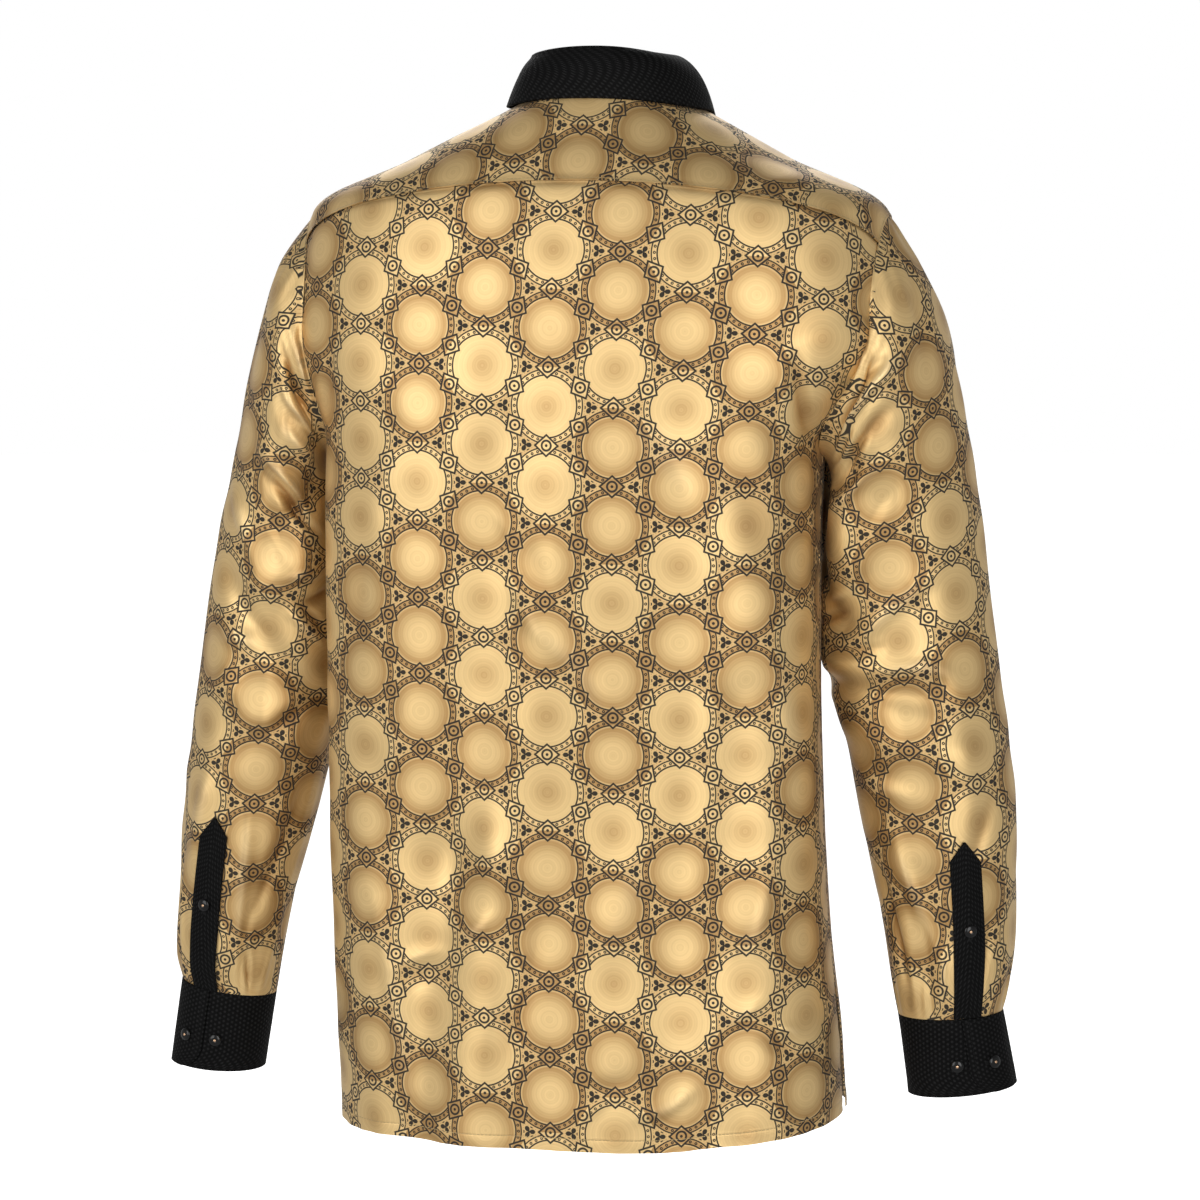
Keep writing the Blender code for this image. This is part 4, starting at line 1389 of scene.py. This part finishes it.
def trim_piece(name, layout, node, wall=None):
    black = look("black_honeycomb")
    piece = sew(name, layout, layout.from_left, layout.from_top, wall or sizes().trim_wall, black, black)
    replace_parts(piece, node)
    return piece


# Body

SLACK_WAVE = 24.0
SIDE_WAVE = 19.0
PUCKER_WAVE = 11.0
SEAM_DIP = 1.5
YOKE_LIP = 0.9
LIP_WIDTH = 2.6
EDGE_ROUND = 1.0
THICK_EDGE_ROUND = 1.1

# How far each row of stitches is from its edge
SEAM_STITCH = 2.0
BAND_STITCH = 4.0
COLLAR_STITCH = 5.5
CUFF_STITCH = 5.0
CUFF_TOP_STITCH = 3.0
PLACKET_BAR = 26.0
VENT_STITCH = 4.5
FACING_STITCH = 28.0

# Where the design starts on each piece, and how much wider the yoke is laid out before it is eased flat
YOKE_PATTERN_TOP = 20.0
FRONT_PATTERN_TOP = 12.0
SLEEVE_PATTERN_TOP = 8.0
YOKE_GUESS = 1.5


def finish_hem(layout, run, side, slack, phase, vent_from):
    """The turned-up hem, the slack along it and along the side seam, and the rows of stitches."""
    hem = sizes().hem_depth / MM
    layout.lift(0.35 * soft_ramp((hem - layout.from_foot) / 1.2))
    layout.lift(slack * ripple(run, SLACK_WAVE, phase) * np.exp(-layout.from_foot / 16.0))
    layout.lift(0.35 * ripple(layout.from_top, SIDE_WAVE, 1.0) * np.exp(-side / 9.0))
    layout.stitch(layout.from_foot, hem, run)
    layout.stitch(np.where(layout.v > vent_from, side, NO_STITCH), VENT_STITCH, layout.from_top)


def make_back():
    """The back. Its top is tucked a little way in under the yoke."""
    across, down = BACK_RUN
    tucked = [-SEAM_TUCK / down, -0.5 * SEAM_TUCK / down]
    stops = edge_stops(across, cloth_step()), np.concatenate([tucked, edge_stops(down, cloth_step())])
    layout = Layout(back_place, *stops, lambda u, v: back_place(u, v, False))
    below_seam = np.maximum(layout.from_top - SEAM_TUCK, 0.0)
    layout.lift(-SEAM_DIP * np.exp(-below_seam / 1.8))
    layout.lift(0.22 * ripple(layout.centred(), PUCKER_WAVE) * np.exp(-below_seam / 9.0))
    finish_hem(layout, layout.centred(), layout.sides(), 0.6, 0.5, 0.80)
    middle = layout.u.shape[1] // 2
    piece = satin_piece("back_cloth", layout, layout.level_run(), -layout.level_drop(middle), ["back"])


def make_yoke():
    """The yoke, whose lower edge stands a little proud of the back. Its pattern starts as the plan view."""
    across, down = YOKE_RUN
    layout = Layout(yoke_place, edge_stops(across, cloth_step() * 1.2), edge_stops(down, cloth_step()))
    layout.lift(YOKE_LIP * np.exp(-((layout.from_foot / LIP_WIDTH) ** 2)))
    layout.lift(0.2 * ripple(layout.centred(), PUCKER_WAVE, 0.8) * np.exp(-layout.from_foot / 8.0))
    layout.stitch(layout.from_foot, SEAM_STITCH, layout.centred())
    plan_u = layout.points[:, :, 0] * YOKE_GUESS
    plan_v = YOKE_PATTERN_TOP - layout.points[:, :, 1] * YOKE_GUESS
    piece = satin_piece("yoke_cloth", layout, plan_u, plan_v, ["yoke"])


def make_fronts():
    across, down = FRONT_RUN
    for name, sign in SIGN.items():
        stops = edge_stops(across, cloth_step()), edge_stops(down, cloth_step())
        layout = Layout(front_place(sign), *stops, front_place(sign, False))
        finish_hem(layout, -layout.from_right, layout.from_left, 0.5, sign, 0.84)
        if sign < 0:
            layout.stitch(layout.from_right, FACING_STITCH, layout.from_top)
        run = layout.level_run()
        run = (run - run[:, -1:]) * sign
        drop = FRONT_PATTERN_TOP - layout.level_drop(-1)
        piece = satin_piece(f"front_{name}_cloth", layout, run, drop, [f"front_{name}"])


def make_band():
    layout = Layout(band_place, edge_stops(BAND_WIDTH, TRIM_STEP), edge_stops(FRONT_RUN[1], 3.2))
    side = layout.sides()
    layout.lift(0.25 * np.exp(-((side - 1.2) / 1.2) ** 2))
    layout.roll(side, EDGE_ROUND)
    layout.roll(layout.from_foot, EDGE_ROUND)
    layout.stitch(side, BAND_STITCH, layout.from_top)
    piece = trim_piece("front_band_cloth", layout, "front_band")


# Collar

def make_collar():
    across, down = STAND_RUN
    layout = Layout(stand_place, edge_stops(across, TRIM_STEP), edge_stops(down, TRIM_STEP))
    layout.roll(layout.sides(), EDGE_ROUND)
    layout.stitch(layout.from_foot, SEAM_STITCH, layout.from_left)
    stand = trim_piece("collar_stand_cloth", layout, "collar_stand")

    across, down = FALL_RUN
    layout = Layout(fall_place, edge_stops(across, 2.2), edge_stops(down, 1.5))
    layout.lift(0.4 * ripple(layout.from_left, 74.0, 0.9) * ramp((layout.from_top - 14.0) / 12.0))
    layout.roll(np.minimum(layout.sides(), layout.from_foot), THICK_EDGE_ROUND)
    layout.roll(layout.from_top, EDGE_ROUND)
    layout.stitch(layout.from_foot, COLLAR_STITCH, layout.from_left)
    layout.stitch(layout.sides(), COLLAR_STITCH, layout.from_top)
    fall = trim_piece("collar_fall_cloth", layout, "collar_fall", FALL_WALL)


# Sleeves and cuffs

AXIS_SMOOTHING = 12
CUFF_WAVE = 60.0
SLEEVE_LIP = 0.45


def along_sleeve(layout):
    """Each point's place on the flat sleeve: how far round from its outer edge, and down its axis."""
    p = layout.points
    centres = p[:, :-1].mean(axis=1)
    axis = unit(np.gradient(centres, axis=0))
    weights = np.full(2 * AXIS_SMOOTHING + 1, 1 / (2 * AXIS_SMOOTHING + 1))
    for k in range(3):
        padded = np.pad(axis[:, k], AXIS_SMOOTHING, mode="edge")
        axis[:, k] = np.convolve(padded, weights, mode="valid")
    axis = unit(axis)
    centre_run = run_length(centres[:, None, :], 0)[:, 0]
    along = centre_run[:, None] + np.einsum("rck,rk->rc", p - centres[:, None, :], axis)
    steps = np.diff(p, axis=1)
    lengthwise = np.einsum("rck,rk->rc", steps, axis)
    round_steps = np.sqrt(np.maximum((steps**2).sum(axis=2) - lengthwise**2, 0.0))
    run = running(round_steps, 1)
    outer = (run.shape[1] - 1) // 2
    return run - run[:, outer:outer + 1], along


def make_sleeve(side):
    def place(creased):
        return lambda u, v: sleeve_point(side, 180.0 + 360.0 * u, SLEEVE_END * v, 0.0, creased)

    stops = even_stops(SLEEVE_ROUND, cloth_step()), edge_stops(SLEEVE_END, cloth_step())
    layout = Layout(place(True), *stops, place(False))
    pattern_u, pattern_v = along_sleeve(layout)
    layout.lift(SLEEVE_LIP * np.exp(-((layout.from_top / LIP_WIDTH) ** 2)))
    nodes = [f"sleeve_{side}_{length}" for length in ("upper", "middle", "lower")]
    pattern_v = SLEEVE_PATTERN_TOP - pattern_v
    piece = satin_piece(f"sleeve_{side}_cloth", layout, pattern_u, pattern_v, nodes, tube=True)


def make_cuff(side):
    across, down = CUFF_RUN
    layout = Layout(cuff_place(side), edge_stops(across, 2.2), edge_stops(down, 2.0))
    edge = np.minimum(layout.sides(), np.minimum(layout.from_foot, layout.from_top))
    layout.roll(edge, THICK_EDGE_ROUND)
    layout.lift(0.35 * ripple(layout.from_left, CUFF_WAVE, 0.3) * ramp(edge / 12.0))
    layout.stitch(layout.from_foot, CUFF_STITCH, layout.from_left)
    layout.stitch(layout.from_top, CUFF_TOP_STITCH, layout.from_left)
    layout.stitch(layout.from_left, CUFF_STITCH, layout.from_top)
    piece = trim_piece(f"cuff_{side}_cloth", layout, f"cuff_{side}")


def make_placket(side):
    layout = Layout(placket_place(side), edge_stops(PLACKET_WIDTH, 1.5), edge_stops(PLACKET_PEAK, 2.0))
    layout.roll(np.minimum(layout.sides(), layout.from_top), EDGE_ROUND)
    layout.stitch(layout.sides(), SEAM_STITCH, layout.from_top)
    for offset in (SEAM_STITCH, PLACKET_BAR):
        layout.stitch(layout.from_top, offset, layout.from_left)
    piece = trim_piece(f"placket_{side}_cloth", layout, f"placket_{side}")


# Buttons

def spun(profile, steps, place):
    """A round shape spun from a profile of radius and height in millimetres, set in place."""
    bm = bmesh.new()
    verts = [bm.verts.new((radius * MM, 0.0, height * MM)) for radius, height in profile]
    edges = [bm.edges.new(pair) for pair in zip(verts, verts[1:])]
    bmesh.ops.spin(bm, geom=verts + edges, cent=(0, 0, 0), axis=(0, 0, 1), dvec=(0, 0, 0),
                   angle=2 * math.pi, steps=steps, use_merge=True, use_duplicate=False)
    bmesh.ops.remove_doubles(bm, verts=bm.verts, dist=0.000005)
    bmesh.ops.recalc_face_normals(bm, faces=bm.faces)
    bmesh.ops.transform(bm, matrix=place, verts=bm.verts)
    return bm


# Profiles of a button and its stud: share of the half width, and height in millimetres
BUTTON_DOME = (
    (0.0, 0.0), (0.70, 0.0), (0.88, 0.28), (0.97, 0.75), (1.0, 1.2), (0.965, 1.62), (0.87, 2.05),
    (0.72, 2.42), (0.52, 2.70), (0.36, 2.80), (0.27, 2.76), (0.22, 2.58), (0.18, 2.46), (0.0, 2.42),
)
BUTTON_STUD = ((0.0, 2.40), (0.21, 2.42), (0.21, 2.70), (0.15, 2.90), (0.0, 2.98))
FRONT_BUTTONS = 6
FIRST_BUTTON_ROW = 1.1
LAST_BUTTON_ROW = 8.6
BUTTON_CLEAR = 0.3
BUTTONHOLE_SUNK = 0.28


def make_button(node, point, normal):
    """A domed button with a shallow dimple and a bronze stud in it."""
    normal = Vector(normal)
    turn = normal.to_track_quat("Z", "Y").to_matrix().to_4x4()
    place = Matrix.Translation((Vector(point) + normal * LAY) * MM) @ turn
    half = sizes().button_width / MM / 2

    def part(name, profile, steps, finish):
        profile = [(share * half, height) for share, height in profile]
        made = finish_piece(f"{node}_{name}", spun(profile, steps, place), [look(finish)])
        return made

    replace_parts(part("dome", BUTTON_DOME, 40, "black_polish"), node)
    part("stud", BUTTON_STUD, 20, "bronze_stud")


# A buttonhole's rings from its rim inwards: how far each shrinks along and across, and its height
BUTTONHOLE_RINGS = ((0.985, 0.72, 0.30), (0.93, 0.22, 0.24), (1.0, 0.5, -0.05))
BUTTONHOLE_CLEAR = 0.02
BUTTONHOLE_HALF_LENGTH = 8.0
BUTTONHOLE_HALF_WIDTH = 1.3


def make_buttonhole(name, point, normal, along):
    """A bar of close stitches round a slit, lying on the cloth under a button."""
    normal = Vector(normal)
    lengthwise = (Vector(along) - normal * Vector(along).dot(normal)).normalized()
    turn = Matrix((lengthwise, normal.cross(lengthwise), normal)).transposed().to_4x4()
    bm = bmesh.new()
    bmesh.ops.create_circle(bm, cap_ends=False, segments=64, radius=BUTTONHOLE_HALF_WIDTH)
    for vert in bm.verts:
        bar = math.copysign(BUTTONHOLE_HALF_LENGTH - BUTTONHOLE_HALF_WIDTH, vert.co.x)
        vert.co = (vert.co.x + bar, vert.co.y, 0.0)
    edges = list(bm.edges)
    for lengthwise_share, across_share, height in BUTTONHOLE_RINGS:
        grown = bmesh.ops.extrude_edge_only(bm, edges=edges)["geom"]
        for vert in (item for item in grown if isinstance(item, bmesh.types.BMVert)):
            vert.co = (vert.co.x * lengthwise_share, vert.co.y * across_share, height)
        edges = [item for item in grown if isinstance(item, bmesh.types.BMEdge)]
    place = Matrix.Translation((Vector(point) + normal * BUTTONHOLE_CLEAR) * MM) @ turn @ Matrix.Scale(MM, 4)
    bmesh.ops.transform(bm, matrix=place, verts=bm.verts)
    bmesh.ops.recalc_face_normals(bm, faces=bm.faces)
    uv = bm.loops.layers.uv.new("cloth")
    for face in bm.faces:
        for loop in face.loops:
            loop[uv].uv = (loop.vert.co.x, loop.vert.co.z)
    finish_piece(name, bm, [look("black_honeycomb")])


def one(place, *values):
    """A single point and normal from a form made for many."""
    points, normals = place(*[np.array([float(v)]) for v in values])
    return points[0], normals[0]


def cuff_button_place(side, turn):
    lift = cuff_lift(side, np.array([turn])) if turn < OPENING_ANGLE[side] else 0.0
    return one(lambda a, b: cuff_point(side, a, b, lift), turn, CUFF_BUTTON_SHARE)


def make_buttons():
    for number in range(FRONT_BUTTONS):
        row = FIRST_BUTTON_ROW + (LAST_BUTTON_ROW - FIRST_BUTTON_ROW) * number / (FRONT_BUTTONS - 1)
        point, normal = one(lambda a, b: body_point(a, b, LAY + TRIM_RISE + BUTTON_CLEAR), 180.0, row)
        make_button(f"button_front_{number + 1}", point, normal)
        sunk = point - normal * BUTTONHOLE_SUNK
        make_buttonhole(f"buttonhole_front_{number + 1}", sunk, normal, (0, 0, 1))
    for side in SIGN:
        for number, turn in enumerate(CUFF_BUTTONS[side], 1):
            make_button(f"button_cuff_{side}_{number}", *cuff_button_place(side, turn))
        strip = placket_place(side)
        point, normal = one(strip, 0.5, 0.5)
        make_button(f"button_placket_{side}", point, normal)
        along = one(strip, 0.5, 0.6)[0] - one(strip, 0.5, 0.4)[0]
        make_buttonhole(f"buttonhole_placket_{side}", point - normal * BUTTONHOLE_CLEAR, normal, along)
        turn = CUFF_BUTTONS[side][0]
        along = cuff_button_place(side, turn + 8)[0] - cuff_button_place(side, turn - 8)[0]
        make_buttonhole(f"buttonhole_cuff_{side}", *cuff_button_place(side, turn), along)


# Stage

CAMERA_TURN = math.radians(12.0)
CAMERA_DROP = math.radians(7.0)
CAMERA_AWAY = 3.0
CAMERA_TARGET = Vector((-0.003, 0.0, -0.378))
FRAME_WIDTH = 0.912
FLOOR_HEIGHT = -1.45
SKY_LIGHT = 0.50
SKY_FALL = 0.36

# Soft lamps: name, place, height of the point that each faces, size and power
LAMPS = (
    ("key", (1.5, 2.7, 0.25), -0.35, (1.8, 2.4), 44.0),
    ("fill", (-1.5, 2.8, 0.0), -0.45, (1.4, 2.4), 44.0),
    ("front_fill", (0.8, -3.0, 1.2), -0.4, (2.4, 2.4), 40.0),
)


def make_lamp(name, place, faces, size, power):
    light = bpy.data.lights.new(name, "AREA")
    light.shape = "RECTANGLE"
    light.size, light.size_y = size
    light.energy = power
    lamp = put(name, light)
    lamp.location = place
    lamp.rotation_euler = (Vector((0.0, 0.0, faces)) - Vector(place)).to_track_quat("-Z", "Y").to_euler()


def make_floor():
    """A pale floor that shows as plain white and lights nothing."""
    bm = bmesh.new()
    bmesh.ops.create_circle(bm, cap_ends=True, segments=96, radius=14.0)
    bmesh.ops.translate(bm, vec=(0.0, 0.0, FLOOR_HEIGHT), verts=bm.verts)
    mesh = bpy.data.meshes.new("floor")
    bm.to_mesh(mesh)
    bm.free()
    floor = put("floor", mesh)
    pale, tree, shader = new_material(
        "pale_floor", Roughness=0.95, Specular_IOR_Level=0.0, Emission_Color=(1.0, 1.0, 1.0, 1.0),
        Emission_Strength=1.0)
    connect(shader, Base_Color=noise(tree, 0.6).tint((0.93, 0.93, 0.93), (0.90, 0.90, 0.90)))
    floor.data.materials.append(pale)
    floor.visible_diffuse = False
    floor.visible_glossy = False


def make_sky():
    """White where the camera sees it. It lights the shirt less from above."""
    world = bpy.data.worlds.new("studio")
    bpy.context.scene.world = world
    world.use_nodes = True
    tree = world.node_tree
    background = tree.nodes["Background"]
    background.inputs["Color"].default_value = (1.0, 1.0, 1.0, 1.0)
    upward = split(source(tree, "ShaderNodeTexCoord", out="Generated"))[2]
    lit = SKY_LIGHT - upward.most(0.0) * SKY_FALL
    connect(background, Strength=source(tree, "ShaderNodeLightPath").most(lit))


def make_camera():
    camera = bpy.data.cameras.new("camera")
    camera.sensor_fit = "HORIZONTAL"
    camera.angle = 2 * math.atan(FRAME_WIDTH / 2 / CAMERA_AWAY)
    camera.clip_end = 60.0
    holder = put("camera", camera)
    level = math.cos(CAMERA_DROP)
    forward = Vector((math.sin(CAMERA_TURN) * level, -math.cos(CAMERA_TURN) * level, -math.sin(CAMERA_DROP)))
    holder.location = CAMERA_TARGET - forward * CAMERA_AWAY
    holder.rotation_euler = forward.to_track_quat("-Z", "Y").to_euler()
    bpy.context.scene.camera = holder
    bpy.context.scene.view_settings.view_transform = "Standard"


def make_stage():
    make_floor()
    make_sky()
    for lamp in LAMPS:
        make_lamp(*lamp)
    make_camera()


class SHIRT_OT_body(bpy.types.Operator):
    """Makes the back, the yoke, the two fronts and the front band"""

    bl_idname = "shirt.body"
    bl_label = "Body"

    def execute(self, context):
        make_back()
        make_yoke()
        make_fronts()
        make_band()
        return {"FINISHED"}


class SHIRT_OT_collar(bpy.types.Operator):
    """Makes the collar's stand and fall"""

    bl_idname = "shirt.collar"
    bl_label = "Collar"

    def execute(self, context):
        make_collar()
        return {"FINISHED"}


class SHIRT_OT_sleeves(bpy.types.Operator):
    """Makes both sleeves"""

    bl_idname = "shirt.sleeves"
    bl_label = "Sleeves"

    def execute(self, context):
        for side in SIGN:
            make_sleeve(side)
        return {"FINISHED"}


class SHIRT_OT_cuffs(bpy.types.Operator):
    """Makes the cuffs and the sleeve plackets"""

    bl_idname = "shirt.cuffs"
    bl_label = "Cuffs and Plackets"

    def execute(self, context):
        for side in SIGN:
            make_cuff(side)
            make_placket(side)
        return {"FINISHED"}


class SHIRT_OT_buttons(bpy.types.Operator):
    """Makes the buttons and buttonholes"""

    bl_idname = "shirt.buttons"
    bl_label = "Buttons"

    def execute(self, context):
        make_buttons()
        return {"FINISHED"}


class SHIRT_OT_stage(bpy.types.Operator):
    """Makes the floor, the lights and the camera"""

    bl_idname = "shirt.stage"
    bl_label = "Stage"

    def execute(self, context):
        make_stage()
        return {"FINISHED"}


OPERATORS = (
    SHIRT_OT_body, SHIRT_OT_collar, SHIRT_OT_sleeves, SHIRT_OT_cuffs, SHIRT_OT_buttons, SHIRT_OT_stage)


class SHIRT_PT_panel(bpy.types.Panel):
    """Lists the shirt's sizes, colours and pieces"""

    bl_idname = "SHIRT_PT_panel"
    bl_label = "Shirt"
    bl_space_type = "VIEW_3D"
    bl_region_type = "UI"
    bl_category = "Shirt"

    def draw(self, context):
        for group in (context.scene.shirt_sizes, context.scene.shirt_colours):
            for name in group.__annotations__:
                self.layout.prop(group, name)
        for operator in OPERATORS:
            self.layout.operator(operator.bl_idname)


CLASSES = (ShirtSizes, ShirtColours, *OPERATORS, SHIRT_PT_panel)


def register():
    for item in CLASSES:
        bpy.utils.register_class(item)
    bpy.types.Scene.shirt_sizes = bpy.props.PointerProperty(type=ShirtSizes)
    bpy.types.Scene.shirt_colours = bpy.props.PointerProperty(type=ShirtColours)


def unregister():
    del bpy.types.Scene.shirt_colours
    del bpy.types.Scene.shirt_sizes
    for item in reversed(CLASSES):
        bpy.utils.unregister_class(item)


def main():
    register()
    bpy.ops.shirt.stage()
    bpy.ops.shirt.body()
    bpy.ops.shirt.collar()
    bpy.ops.shirt.sleeves()
    bpy.ops.shirt.cuffs()
    bpy.ops.shirt.buttons()
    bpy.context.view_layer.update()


if __name__ == "__main__":
    main()
